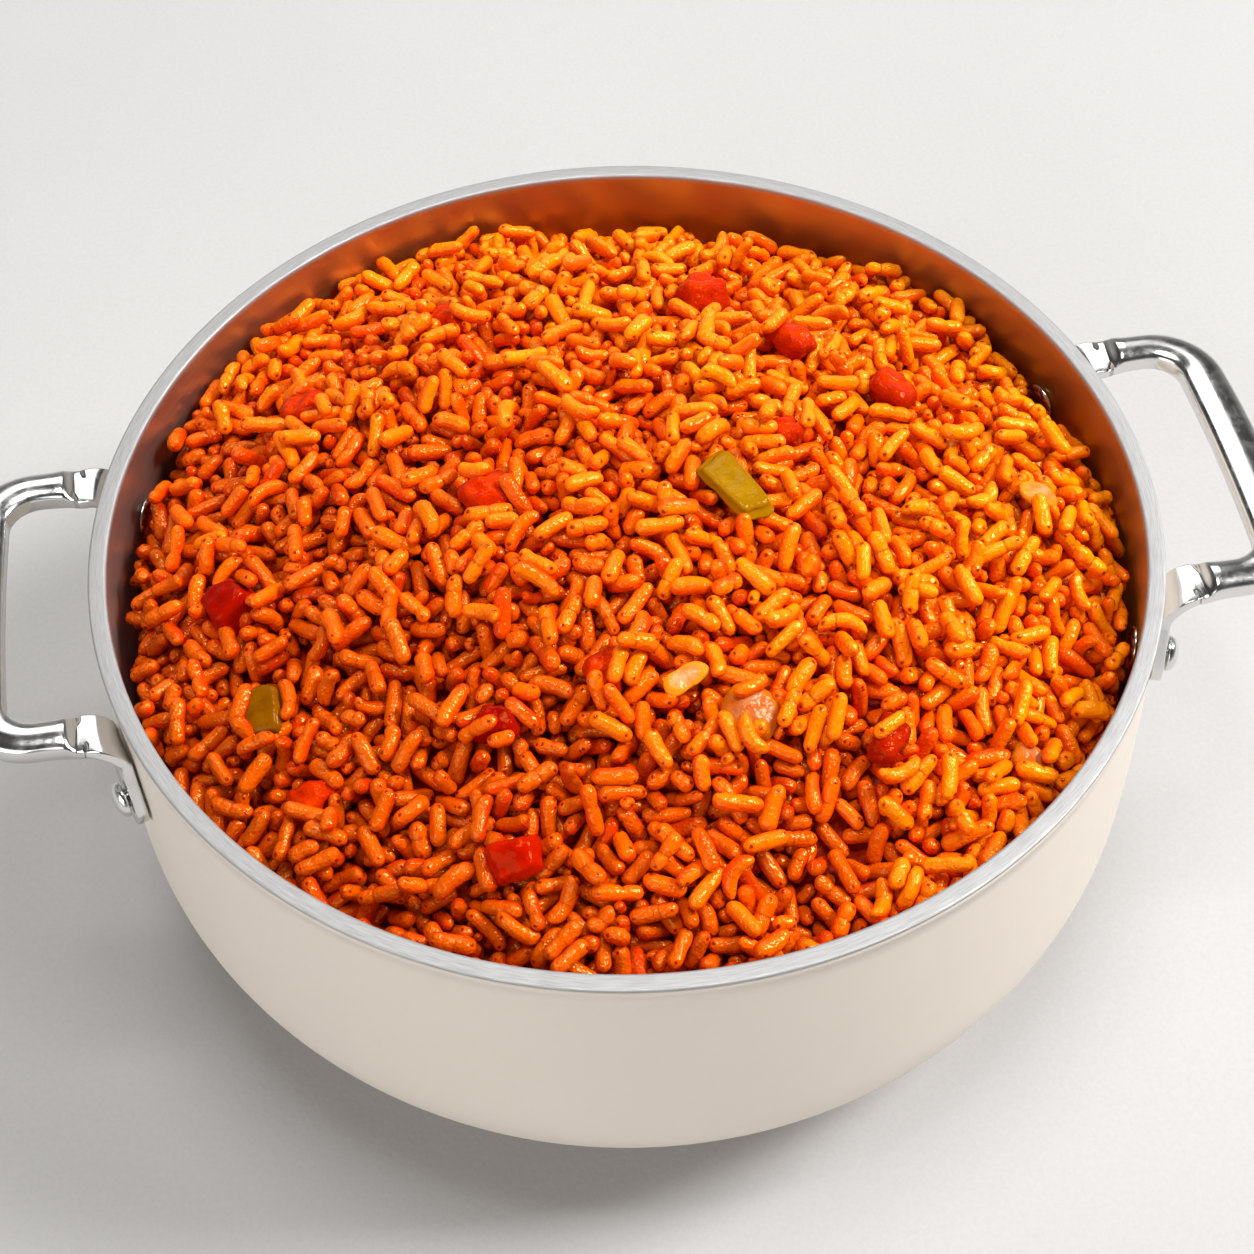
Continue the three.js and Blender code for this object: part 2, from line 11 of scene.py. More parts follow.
import bmesh
import bpy
import numpy as np
from bpy.props import FloatProperty, FloatVectorProperty, IntProperty, PointerProperty
from mathutils import Matrix, Quaternion, Vector, noise


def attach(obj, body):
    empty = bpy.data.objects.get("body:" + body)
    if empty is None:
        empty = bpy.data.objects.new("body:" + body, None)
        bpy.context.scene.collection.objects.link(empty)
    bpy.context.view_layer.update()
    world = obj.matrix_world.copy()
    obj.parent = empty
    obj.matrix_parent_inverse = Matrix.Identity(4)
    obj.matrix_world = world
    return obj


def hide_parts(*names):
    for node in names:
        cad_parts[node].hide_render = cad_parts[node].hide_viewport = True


bl_info = {
    "name": "Pot of jollof rice",
    "version": (1, 0, 0),
    "blender": (4, 5, 0),
    "location": "3D View > Sidebar > Jollof",
    "description": "Builds a heap of jollof rice in a casserole pot",
    "category": "Object",
}

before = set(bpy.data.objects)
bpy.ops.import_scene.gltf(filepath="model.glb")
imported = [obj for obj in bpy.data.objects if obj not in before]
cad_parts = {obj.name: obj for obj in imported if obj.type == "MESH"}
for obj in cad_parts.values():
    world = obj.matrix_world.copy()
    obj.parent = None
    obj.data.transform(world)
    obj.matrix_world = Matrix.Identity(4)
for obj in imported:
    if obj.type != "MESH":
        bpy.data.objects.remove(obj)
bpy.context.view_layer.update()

MM = 0.001
BODY = "root"

# ---- Sizes, in millimetres and degrees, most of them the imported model's too ---

GAP = 0.35
RIM_HEIGHT = 110
RIM_RADIUS = 125.5
MOUTH_RADIUS = 121.3
NECK_RADIUS = 124.8
NECK_HEIGHT = 106.8
BELLY_RADIUS = 126.8
BASE_RADIUS = 77
FOOT_STEP = 1.2
BOTTOM_ROUND = BELLY_RADIUS - BASE_RADIUS
BELLY_HEIGHT = FOOT_STEP + BOTTOM_ROUND
WALL = 3.4
COATING = 0.3

# How the rim's corners are rounded, from its side to its top and down again:
# points so far from the outside or from the mouth, and so far below the top.
RIM_OUTER_CORNER = ((0.05, 0.65), (0, 0.5), (0.06, 0.25), (0.22, 0.07), (0.45, 0.01), (0.7, 0))
RIM_INNER_CORNER = ((0.8, 0), (0.55, 0.02), (0.25, 0.12), (0.06, 0.35), (0, 0.7))

POT_FACETS = 240
WALL_RINGS = 14

HANDLE_LEVEL = 101.6
GRIP_REACH = 156.9
GRIP_WIDTH = 11
GRIP_BOW = 0.9
GRIP_TAPER = 0.6
LEG_WIDTH = 8.4
LEG_FLARE = 0.6
LEG_OFFSET = 37.4
CORNER_ROUND = 12
BAR_SIDE = 3.5
BAR_CROWN = 1.9
PLATE = 2.8
PLATE_WIDTH = 12
PLATE_CROWN = 0.3
BEND_ROUND = 5
BEND_SHIFT = 1.8
BEND_FLARE = 2
SCOOP_START = 4.5
SCOOP_END = 1.2
SCOOP_FLARE = 1.2
FOOT_TOP_TURN = 17.6
RIVET_TURN = 19.5
RIVET_HEIGHT = 86
FOOT_END_HEIGHT = 79.5

RIVET_SHANK = 2.2
OUTER_HEAD = (4.25, 2.8)
INNER_HEAD = (5.5, 1.9)
HEAD_SETBACK = 0.2
RIVET_TURNS = [RIVET_TURN, -RIVET_TURN, 180 + RIVET_TURN, 180 - RIVET_TURN]

HEAP_EDGE_DROP = 17
HEAP_RISE = 33
RIVET_DIP = 6
RIVET_DIP_TURN = 8
HEAP_RADIUS = 120

# Vegetable bits: x, y, size, squareness, turn and lift, as in the model.
TOMATOES = [
    (30.1, 66.0, (14, 12, 8), 2.6, 35, 0.6),
    (-33.9, 68.8, (13, 9, 7), 2.5, -10, 0.4),
    (-71.7, 46.6, (12, 11, 8), 2.7, 60, 0.6),
    (-31.7, 0.3, (12, 10, 7.5), 2.6, 20, 0.5),
    (47.4, 43.2, (14, 8, 7), 2.5, -48, 0.4),
    (70.0, 26.6, (13, 10, 7), 2.8, -62, 0.5),
    (40.0, 10.2, (9, 7, 6), 2.4, 30, 0.2),
    (-12.7, -52.4, (10, 9, 7), 2.6, 80, 0.4),
    (-79.2, -62.1, (11, 8, 6.5), 2.5, 15, 0.2),
    (46.2, -72.5, (12, 8, 7), 2.5, 55, 0.2),
]
RED_PEPPERS = [
    (-93.7, -7.0, (11.5, 10, 8), 4.5, 28, 0.4),
    (-37.2, -57.7, (9, 7, 6), 4, -20, 0.1),
    (-37.7, -87.7, (11, 8.5, 7.5), 4.5, 8, 1.2),
]
GREEN_PEPPERS = [
    (23.4, -9.8, (17, 8.8, 2.6), 6, -61, 2.3),
    (-87.0, -39.1, (12, 8.5, 5), 4.5, 78, 0.9),
]
ONIONS = [
    (4.1, -55.8, (10, 5.5, 2.8), 2.6, 28, 1.7),
    (17.0, -64.7, (14, 11, 5), 2.6, -25, 0.7),
    (78.4, -76.0, (11, 6, 3.4), 2.5, -32, 1.3),
    (97.9, -7.5, (10, 7.5, 3.2), 2.6, -20, 1.3),
    (29.3, 32.9, (9, 7.5, 5), 2.4, 70, 0.6),
]

# Bits that grains leave bare, and bits darkened by the sauce and by painted shade.
BARE_BITS = ("tomato_1", "tomato_6", "red_pepper_3", "green_pepper_1", "onion_1")
STAINED_AND_SHADED_BITS = (
    "red_pepper_1", "red_pepper_2", "green_pepper_2", "tomato_10", "onion_2", "onion_3"
)

# ---- The heap ----------------------------------------------------------------

CORE_DROP = 9.8        # core under the smooth heap
CORE_RADIUS = 119.5    # edge of its top, inside the wall
CORE_RELIEF = 0.7      # height of its waves
CORE_GAP = 0.6         # room between it and the pot lower down

LENGTH_SPREAD = 0.75   # of whole grains, about their middle length
RADIUS_SPREAD = 0.11
LENGTHS = (3.3, 13)    # shortest and longest grain
RADII = (1.2, 2.1)     # thinnest and thickest
SMALL_GRAIN = 8.2      # grains shorter than this go into a piece of their own
CAP_REACH = 0.99       # how far a grain's end stands out, as a share of its radius
CAP_BLUNT = 0.92       # the less, the blunter the end
TURN_SPREAD = 0.45     # how far a grain's upper side is turned from the slope
EYE_FALL = (0.25, 0.6)  # how far out on an end its eye sits
EYE_ROLL = 0.55        # and how far down its side
WAVE_HEIGHT = 0.028    # of a grain's uneven skin, as a share of its radius
CREASE_DEPTH = 0.2     # the same for a crease
CREASE_WIDTH = 0.5
WAIST_LENGTH = 1.2
PLAIN_ENDS = 0.25      # share of the ends that show no eye
FAR_OFF = 99.0         # distance of a crease that a grain doesn't have
FAR_EYE = 50           # of an eye that an end doesn't have
FAR_POLE = 9           # and of a crease from a grain's poles

# Broken and short grains: the share of all up to each kind, and its lost length.
FRAGMENTS = 0.06
SHORTER = ((FRAGMENTS, 7.4), (0.14, 4.4), (0.36, 1.9))
FRAGMENT_THIN = 0.72   # a fragment's width, as a share of a grain's

SCATTER_RADIUS = 118
BED_HEIGHTS = (2, 17)  # where the bed starts above the core
BED_LEAN = 0.8         # how far its grains lean out of the slope, in radians
LOOSE_HEIGHTS = (CORE_DROP + 3, CORE_DROP + 6)
LOOSE_LEAN = 0.4
SPARE = 4              # loose grains that are drawn for each one that is kept
CLUMPING = 0.45        # how much more of them are kept in clumps
BARE_MARGIN = 6        # how far loose grains stay from a bit that is left bare
BARE_ROOM = 5          # and room over such a bit from which all are pushed off
BIT_SHARE = 0.92       # how much of a bit's size pushes grains off
GRAIN_SHARE = 0.9      # and of a grain's radius
WALL_ROOM = 0.2        # room between grains and the wall
HEAD_DEPTH = 1         # middle of the ball that stands for a rivet's inner head

GRAIN_SPHERES = 4      # spheres that stand for a grain while it settles
BED_STEPS = 150        # steps in which the bed sinks onto the core
LOOSE_STEPS = 46       # steps in which the last grains fall onto the bed
REST_STEPS = 30        # steps with no pull, that free what still overlaps
BED_PULL = 0.09        # how far a grain of the bed sinks in one step
LOOSE_PULL = 0.34      # the same for a grain that falls onto the bed
HELD_FROM = 0.02       # a grain that is pushed up further than this is held up
HELD_SHARE = 0.25      # share of its pull that a loose grain keeps while held up
BED_GIVE = 0.15        # how readily the bed gives way to the last grains
MOVE_SHARE = 0.5       # share of a push that a grain follows in one step
SPIN_SHARE = 0.8       # and of a turn
PAIR_STEPS = 6         # steps after which near spheres are looked for again
PAIR_REACH = 0.5       # widest gap between spheres that counts as near
HIGHEST = 132.9        # grains that would stick out above this are left off
SEEN_DEPTH = 3.4       # bed grains less deep than this show between the loose ones

# The tone of a grain goes from 0, dark with sauce and painted shade, to 1, the palest, with
# painted light.
MIDDLE_TONE = 0.69
TONE_SPREAD = 0.09     # difference from one grain to the next
PAINTED_LIGHT_EAST = 0.44       # painted light: how much paler the grains get towards +X, where the key light is
PAINTED_LIGHT_NORTH = 0.31      # and towards +Y, where the back light is
PAINTED_LIGHT_CORNERS = 0.3     # and in the two corners where X and Y differ in sign
SOAKED_AND_SHADED_TONE = 0.55     # how much darker they are deep in the heap, soaked with sauce and painted shade
SOAKED_AND_SHADED_FROM = -2       # depth at which that begins
SOAKED_AND_SHADED_OVER = 6        # and over how many millimetres it grows
WALL_SHADE_TONE = 0.12       # and at the wall: painted shade, where the wall shades them

# ---- Finishes ----------------------------------------------------------------

SCRATCH_STRETCH = 0.004      # the less, the longer the scratches round the pot
RIM_HEIGHTS = (RIM_HEIGHT - 1.6, RIM_HEIGHT - 0.9)     # where the rim's finish
RIM_RADII = (NECK_RADIUS - 1, NECK_RADIUS - 0.5)       # takes over from the wall's
STAIN_AND_REFLECTION_HEIGHTS = (84, 107)     # the sauce stain and painted reflection of the rice on the wall fade upwards
STAIN_AND_REFLECTION_ACROSS = (-125, -50)    # and towards the left end of the pot
WARM_SHINE = (1.0, 0.45, 0.1)
DENTS = ((1, 0.2), (0.5, 0.42), (0.12, 1.0))    # depths, and dents a millimetre
PEPPER_SQUARE = 1.7          # how much squarer pepper is than in the model
PEPPER_WEDGE = 0.14          # how much narrower it gets upwards, and to one side
PEPPER_WEDGE_SIDE = 0.1

# ---- Stage -------------------------------------------------------------------

CAMERA_PLACE = (-48.937, -335.451, 501.527)
CAMERA_RIGHT = (0.987017, -0.160093, -0.012951)
CAMERA_UP = (0.134018, 0.776445, 0.61577)
CAMERA_FORWARD = (0.088525, 0.609511, -0.78782)
SENSOR_WIDTH = 36

FLOOR_REACH = 3000
LIGHTS_AIM = (0, 0, 80)
LIGHTS = {  # width and height, and place
    "key": ((850, 850), (1840, 0, 1920)),
    "back": ((1600, 900), (100, 1700, 1780)),
    "overhead": ((800, 800), (0, 80, 2480)),
    "fill": ((2000, 1400), (-1430, -1340, 1080)),
}
SURROUND = (  # upward part of the direction, and colour
    (0.08, (0.4, 0.395, 0.385)),
    (0.5, (0.05, 0.049, 0.048)),
)


# ---- Settings ----------------------------------------------------------------


def length(name, description, millimetres):
    return FloatProperty(
        name=name,
        description=description,
        default=millimetres * MM,
        unit="LENGTH",
        subtype="DISTANCE",
        precision=5,
    )


def colour(name, description, rgb):
    return FloatVectorProperty(
        name=name, description=description, default=rgb, subtype="COLOR", min=0, max=1
    )


class PotSettings(bpy.types.PropertyGroup):
    """Pot, handles and rivets"""

    coating: length("Coating", "Thickness of the cream coating", COATING)
    cream: colour("Cream", "Colour of the coating", (0.745, 0.658, 0.572))
    metal: colour("Metal", "Colour of the bare metal", (0.48, 0.475, 0.47))
    steel: colour("Steel", "Colour of handles and rivets", (0.72, 0.715, 0.705))


class RiceSettings(bpy.types.PropertyGroup):
    """Heap of rice"""

    bed: IntProperty(
        name="Bed", description="Number of grains in the bed", default=2850, min=100
    )
    loose: IntProperty(
        name="Loose", description="Number of grains on the bed", default=620, min=10
    )
    grain_length: length("Grain length", "Middle length of a cooked grain", 10.4)
    grain_width: length("Grain width", "Middle width of a cooked grain", 3.75)
    seed: IntProperty(
        name="Seed", description="Another number gives another heap", default=7
    )
    light: colour("Light grains", "Colour of the palest grains", (0.97, 0.29, 0.001))
    deep: colour("Deep grains", "Colour of the reddest grains", (0.90, 0.12, 0.0))
    sauce: colour("Sauce", "Colour between the grains", (0.28, 0.012, 0.0))


class VegetableSettings(bpy.types.PropertyGroup):
    """Vegetable bits"""

    tomato: colour("Tomato", "Colour of the tomato bits", (0.56, 0.014, 0.0))
    red_pepper: colour("Red pepper", "Colour of red pepper", (0.46, 0.005, 0.0))
    green_pepper: colour("Green pepper", "Colour of green pepper", (0.35, 0.165, 0.001))
    onion: colour("Onion", "Colour of the onion bits", (0.76, 0.19, 0.018))


class StageSettings(bpy.types.PropertyGroup):
    """Floor, lights and camera"""

    floor: colour("Floor", "Colour of the floor", (0.490, 0.479, 0.471))
    lens: FloatProperty(
        name="Lens",
        description="Focal length of the camera",
        default=63.158 * MM,
        unit="CAMERA",
        precision=5,
    )
    key: FloatProperty(
        name="Key light", description="Power of the main light", default=87, min=0
    )
    back: FloatProperty(
        name="Back light", description="Power of the light behind", default=13, min=0
    )
    overhead: FloatProperty(
        name="Overhead", description="Power of the light above", default=29, min=0
    )
    fill: FloatProperty(
        name="Fill light", description="Power of the light in front", default=25, min=0
    )


# ---- Meshes ------------------------------------------------------------------


def make_mesh(name, points, face_groups, attributes=None):
    """A smooth mesh from points in millimetres and arrays of faces."""
    mesh = bpy.data.meshes.new(name)
    corners = np.concatenate([group.ravel() for group in face_groups])
    sizes = np.concatenate([np.full(len(g), g.shape[1]) for g in face_groups])
    mesh.vertices.add(len(points))
    mesh.vertices.foreach_set("co", (np.asarray(points) * MM).astype(np.float32).ravel())
    mesh.loops.add(len(corners))
    mesh.loops.foreach_set("vertex_index", corners.astype(np.int32))
    mesh.polygons.add(len(sizes))
    starts = np.concatenate([[0], np.cumsum(sizes)[:-1]])
    mesh.polygons.foreach_set("loop_start", starts.astype(np.int32))
    mesh.polygons.foreach_set("use_smooth", np.ones(len(sizes), dtype=bool))
    for title, values in (attributes or {}).items():
        kind, key = ("FLOAT", "value") if values.ndim == 1 else ("FLOAT_VECTOR", "vector")
        layer = mesh.attributes.new(title, kind, "POINT")
        layer.data.foreach_set(key, values.astype(np.float32).ravel())
    mesh.update(calc_edges=True)
    if mesh.validate():
        raise RuntimeError(f"the mesh of {name} had faults")
    return mesh


def add_piece(name, mesh, material, material_slot, *nodes):
    """Puts a piece in the scene, in place of the nodes that it stands for."""
    piece = bpy.data.objects.new(name, mesh)
    bpy.context.scene.collection.objects.link(piece)
    mesh.materials.append(material)
    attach(piece, BODY)
    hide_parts(*nodes)


def grid_faces(rows, columns, closed_rows=False):
    """Quads between rows of points; each row closes on itself."""
    row = np.arange(rows if closed_rows else rows - 1)[:, None]
    column = np.arange(columns)[None, :]
    after = (column + 1) % columns
    near, far = row * columns, (row + 1) % rows * columns
    quads = np.stack([near + column, near + after, far + after, far + column], axis=-1)
    return quads.reshape(-1, 4)


def end_fans(rings, columns, first_pole, last_pole):
    """Triangles that close the first and the last ring, each with a pole."""
    here = np.arange(columns)
    after = (here + 1) % columns
    last = (rings - 1) * columns
    first_fan = np.stack([here, after, np.full(columns, first_pole)], axis=-1)
    last_fan = np.stack([last + after, last + here, np.full(columns, last_pole)], axis=-1)
    return [first_fan, last_fan]


def turned(profile, facets, closed=False):
    """A turned shape about Z from (radius, height) points that run upwards
    outside. An open profile starts and ends on the axis."""
    profile = np.asarray(profile, dtype=float)
    body = profile if closed else profile[1:-1]
    angles = np.arange(facets) * 2 * math.pi / facets
    rings = np.stack(
        [
            body[:, :1] * np.cos(angles),
            body[:, :1] * np.sin(angles),
            np.broadcast_to(body[:, 1:], (len(body), facets)),
        ],
        axis=-1,
    ).reshape(-1, 3)
    faces = [grid_faces(len(body), facets, closed_rows=closed)]
    if closed:
        return rings, faces
    fans = end_fans(len(body), facets, len(rings), len(rings) + 1)
    faces += [fan[:, [1, 0, 2]] for fan in fans]
    poles = [[0, 0, profile[0, 1]], [0, 0, profile[-1, 1]]]
    return np.vstack([rings, poles]), faces


def arc(centre, size, start, end, count):
    """Points of a circle's arc, in (radius, height)."""
    angles = np.radians(np.linspace(start, end, count))
    return [
        (centre[0] + size * math.cos(a), centre[1] + size * math.sin(a)) for a in angles
    ]


def wall_radius(height):
    """The outside of the upright wall: nearly straight, with a slight belly."""
    climb = np.maximum((height - BELLY_HEIGHT) / (NECK_HEIGHT - BELLY_HEIGHT), 0)
    return BELLY_RADIUS - (BELLY_RADIUS - NECK_RADIUS) * climb**2


def around(radius, degrees, height):
    """A point at a distance from Z and an angle about it."""
    angle = math.radians(degrees)
    return np.array([radius * math.cos(angle), radius * math.sin(angle), height])


# ---- Materials ---------------------------------------------------------------


def shade(colour, *factors):
    """A colour times one factor, or times a factor for each channel."""
    if len(factors) == 1:
        factors *= 3
    return [min(c * k, 1) for c, k in zip(colour, factors)]


class Finish:
    """A Principled material, and short ways to add the nodes that feed it."""

    def __init__(self, name, **sockets):
        self.material = bpy.data.materials.new(name)
        self.material.use_nodes = True
        self.tree = self.material.node_tree
        self.shader = self.tree.nodes["Principled BSDF"]
        for socket, value in sockets.items():
            self.set(self.shader, socket.replace("_", " "), value)

    def set(self, node, socket, value):
        target = node.inputs[socket]
        if isinstance(value, bpy.types.NodeSocket):
            self.tree.links.new(value, target)
        elif hasattr(value, "__len__") and target.type == "RGBA" and len(value) == 3:
            target.default_value = (*value, 1)
        else:
            target.default_value = value

    def add(self, kind, output=0, inputs=(), **settings):
        """A node with its settings and inputs; gives back one of its outputs."""
        node = self.tree.nodes.new(kind)
        for key, value in settings.items():
            setattr(node, key, value)
        for socket, value in dict(inputs).items():
            self.set(node, socket, value)
        return node.outputs[output]

    def place(self):
        return self.add("ShaderNodeTexCoord", "Object")

    def attribute(self, name, output="Fac"):
        return self.add("ShaderNodeAttribute", output, attribute_name=name)

    def component(self, vector, axis):
        return self.add("ShaderNodeSeparateXYZ", axis, inputs={0: vector})

    def grain(self, scale, detail=3.0, roughness=0.55, stretch=(1, 1, 1), vector=None):
        """Noise with so many features in a unit of its vector, which is a metre
        unless another vector is given. It is stretched along the axes."""
        where = self.add(
            "ShaderNodeMapping",
            inputs={"Vector": vector or self.place(), "Scale": stretch},
        )
        return self.add(
            "ShaderNodeTexNoise",
            "Fac",
            inputs={
                "Vector": where,
                "Scale": scale,
                "Detail": detail,
                "Roughness": roughness,
            },
        )

    def math(self, operation, a, b=0.0):
        return self.add(
            "ShaderNodeMath", operation=operation, inputs={0: a, 1: b}, use_clamp=False
        )

    def between(self, value, low, high, to_low=0.0, to_high=1.0):
        """Maps low..high smoothly onto to_low..to_high, clamped."""
        return self.add(
            "ShaderNodeMapRange",
            interpolation_type="SMOOTHSTEP",
            inputs={
                "Value": value,
                "From Min": low,
                "From Max": high,
                "To Min": to_low,
                "To Max": to_high,
            },
        )

    def mix(self, share, first, second, blend="MIX"):
        """The first colour, and where the share is 1 the second one."""
        node = self.tree.nodes.new("ShaderNodeMix")
        node.data_type = "RGBA"
        node.blend_type = blend
        self.set(node, 0, share)
        self.set(node, 6, first)
        self.set(node, 7, second)
        return node.outputs[2]

    def ramp(self, value, *stops):
        """Colours at rising values, and a straight change between them."""
        node = self.tree.nodes.new("ShaderNodeValToRGB")
        elements = node.color_ramp.elements
        while len(elements) < len(stops):
            elements.new(0.5)
        for element, (position, rgb) in zip(elements, stops):
            element.position = position
            element.color = (*rgb, 1)
        self.set(node, 0, value)
        return node.outputs[0]

    def bump(self, height, millimetres, strength=1.0, under=None):
        """Relief of so many millimetres, on top of another one."""
        inputs = {"Height": height, "Distance": millimetres * MM, "Strength": strength}
        if under is not None:
            inputs["Normal"] = under
        return self.add("ShaderNodeBump", inputs=inputs)

    def feed(self, **sockets):
        """Links the last nodes to the shader; gives back the material."""
        for socket, value in sockets.items():
            self.set(self.shader, socket.replace("_", " "), value)
        return self.material


def ring_coordinates(finish, stretch):
    """Angle round Z, radius and height as a vector, for marks that run round
    the pot."""
    x, y, z = (finish.component(finish.place(), axis) for axis in "XYZ")
    radius = finish.math(
        "SQRT",
        finish.math("ADD", finish.math("MULTIPLY", x, x), finish.math("MULTIPLY", y, y)),
    )
    angle = finish.math("ARCTAN2", y, x)
    angle = finish.math("MULTIPLY", angle, stretch)
    return finish.add("ShaderNodeCombineXYZ", inputs={0: angle, 1: radius, 2: z})


def cream_coating(colour):
    """Satin cream enamel with a very fine orange peel."""
    finish = Finish("Cream coating", Roughness=0.42, Coat_Weight=0.15, Coat_Roughness=0.3)
    cloud = finish.grain(14, detail=2)
    tint = finish.mix(cloud, shade(colour, 0.985), shade(colour, 1.015))
    peel = finish.grain(900, detail=2)
    roughness = finish.between(finish.grain(120), 0.3, 0.7, 0.38, 0.46)
    return finish.feed(
        Base_Color=tint, Roughness=roughness, Normal=finish.bump(peel, 0.02, 0.5)
    )


def brushed_metal(colour):
    """Bare metal, turned: fine scratches that run round the pot. The rim is
    bright. The wall inside is dull, tinted orange by a stain of sauce and by
    a painted reflection of the rice."""
    finish = Finish("Brushed metal", Metallic=1.0, Roughness=0.3)
    rings = ring_coordinates(finish, SCRATCH_STRETCH)
    lines = finish.grain(5200, detail=2, vector=rings)
    bands = finish.grain(600, detail=4, vector=rings)
    across, height = (finish.component(finish.place(), axis) for axis in "XZ")
    radius = finish.component(rings, "Y")
    on_rim = finish.math(
        "MAXIMUM",
        finish.between(height, *(h * MM for h in RIM_HEIGHTS)),
        finish.between(radius, *(r * MM for r in RIM_RADII)),
    )
    # Sauce stain and painted reflection of the rice: orange on the wall, less upwards and
    # towards -X.
    stain_and_reflection = finish.math(
        "MULTIPLY",
        finish.between(height, *(h * MM for h in STAIN_AND_REFLECTION_HEIGHTS), 1.0, 0.65),
        finish.between(across, *(x * MM for x in STAIN_AND_REFLECTION_ACROSS), 0.12, 1.0),
    )
    wall = finish.mix(bands, shade(colour, 0.84), shade(colour, 1.12))
    wall = finish.mix(stain_and_reflection, wall, shade(colour, 1.4, 0.8, 0.07))
    rim = finish.mix(bands, shade(colour, 0.9), shade(colour, 1.1))
    scratches = finish.between(lines, 0.35, 0.65, 0, 0.18)
    rim = finish.mix(scratches, rim, shade(colour, 0.3))
    tint = finish.mix(on_rim, wall, rim)
    wall_roughness = finish.between(lines, 0.3, 0.7, 0.4, 0.52)
    rim_roughness = finish.between(lines, 0.3, 0.7, 0.6, 0.75)
    roughness = finish.add(
        "ShaderNodeMapRange",
        inputs={"Value": on_rim, "To Min": wall_roughness, "To Max": rim_roughness},
    )
    return finish.feed(
        Base_Color=tint, Roughness=roughness, Normal=finish.bump(lines, 0.04, 0.45)
    )


def polished_steel(colour):
    """Forged steel with a bright polish and a few fine nicks."""
    finish = Finish("Polished steel", Metallic=1.0, Roughness=0.12)
    wear = finish.grain(260, detail=5, roughness=0.7)
    tint = finish.mix(wear, shade(colour, 0.93), shade(colour, 1.05))
    roughness = finish.between(wear, 0.35, 0.7, 0.14, 0.26)
    wave = finish.grain(90, detail=1)
    dents = finish.bump(wave, 0.3, 0.12)
    nicks = finish.bump(finish.grain(1500, detail=3), 0.02, 0.25, under=dents)
    return finish.feed(Base_Color=tint, Roughness=roughness, Normal=nicks)


def cooked_rice(rice):
    """Moist grains, stained by the sauce: a dark eye near most tips, a red line
    in a crease, and a skin so uneven that its shine breaks up."""
    finish = Finish(
        "Cooked rice",
        Roughness=0.19,
        Specular_IOR_Level=0.55,
        Specular_Tint=(1.0, 0.75, 0.22, 1.0),
    )
    flesh = finish.attribute("flesh", "Vector")
    tone = finish.attribute("tone")
    middle = [0.45 * a + 0.55 * b for a, b in zip(rice.light, rice.deep)]
    # The colour at tone 0, for grains deep in the heap: soaked with sauce, and painted shade.
    soaked_and_shaded = shade(rice.deep, 0.74, 0.72, 1.0)
    base = finish.ramp(tone, (0.0, soaked_and_shaded), (0.25, rice.deep), (0.6, middle), (1.0, rice.light))

    mottle = finish.grain(0.45, detail=2, roughness=0.6, vector=flesh)
    mottle = finish.between(mottle, 0.45, 0.7, 0, 0.5)
    base = finish.mix(mottle, base, (0.9, 0.68, 0.5), "MULTIPLY")
    # Painted shade: the underside of each grain is darker and redder.
    below = finish.between(finish.attribute("upper"), 0.95, -0.35, 0, 1)
    base = finish.mix(below, base, (0.88, 0.4, 0.15), "MULTIPLY")

    nick = finish.attribute("nick", "Vector")
    off_line = finish.component(nick, "X")
    wander = finish.grain(0.9, detail=1, vector=flesh)
    off_line = finish.math("ADD", off_line, finish.math("SUBTRACT", wander, 0.5))
    off_line = finish.math("ABSOLUTE", off_line)
    facing = finish.component(nick, "Y")
    line = finish.math(
        "MULTIPLY",
        finish.between(off_line, 0.42, 0.1, 0, 0.6),
        finish.between(facing, 0.0, 0.7),
    )
    base = finish.mix(line, base, shade(rice.sauce, 1.3))

    away = finish.add(
        "ShaderNodeVectorMath",
        "Value",
        operation="LENGTH",
        inputs={0: finish.attribute("eye", "Vector")},
    )
    away = finish.math("ADD", away, finish.math("MULTIPLY", wander, 0.5))
    ring = finish.between(away, 1.35, 0.85, 0, 0.6)
    base = finish.mix(ring, base, shade(rice.deep, 0.95, 0.6, 0.6))
    dot = finish.between(away, 0.8, 0.6, 0, 0.9)
    base = finish.mix(dot, base, shade(rice.sauce, 0.8))

    ridges = finish.grain(0.9, detail=0, stretch=(0.9, 1.1, 1.1), vector=flesh)
    lumps = finish.bump(ridges, 0.24, 0.9)
    pimples = finish.grain(1.85, detail=0, stretch=(0.9, 1, 1), vector=flesh)
    skin = finish.bump(pimples, 0.18, 1.0, under=lumps)
    return finish.feed(Base_Color=base, Normal=skin)


def sauce_and_shade_core(rice):
    """What shows between the grains: more rice deep in the sauce, darkened with painted shade.
    """
    finish = Finish("Sauce", Roughness=0.5, Specular_IOR_Level=0.1)
    patches = finish.grain(220, detail=4)
    tint = finish.mix(patches, rice.sauce, shade(rice.sauce, 1.8))
    return finish.feed(
        Base_Color=tint, Normal=finish.bump(finish.grain(300, detail=3), 2, 0.6)
    )


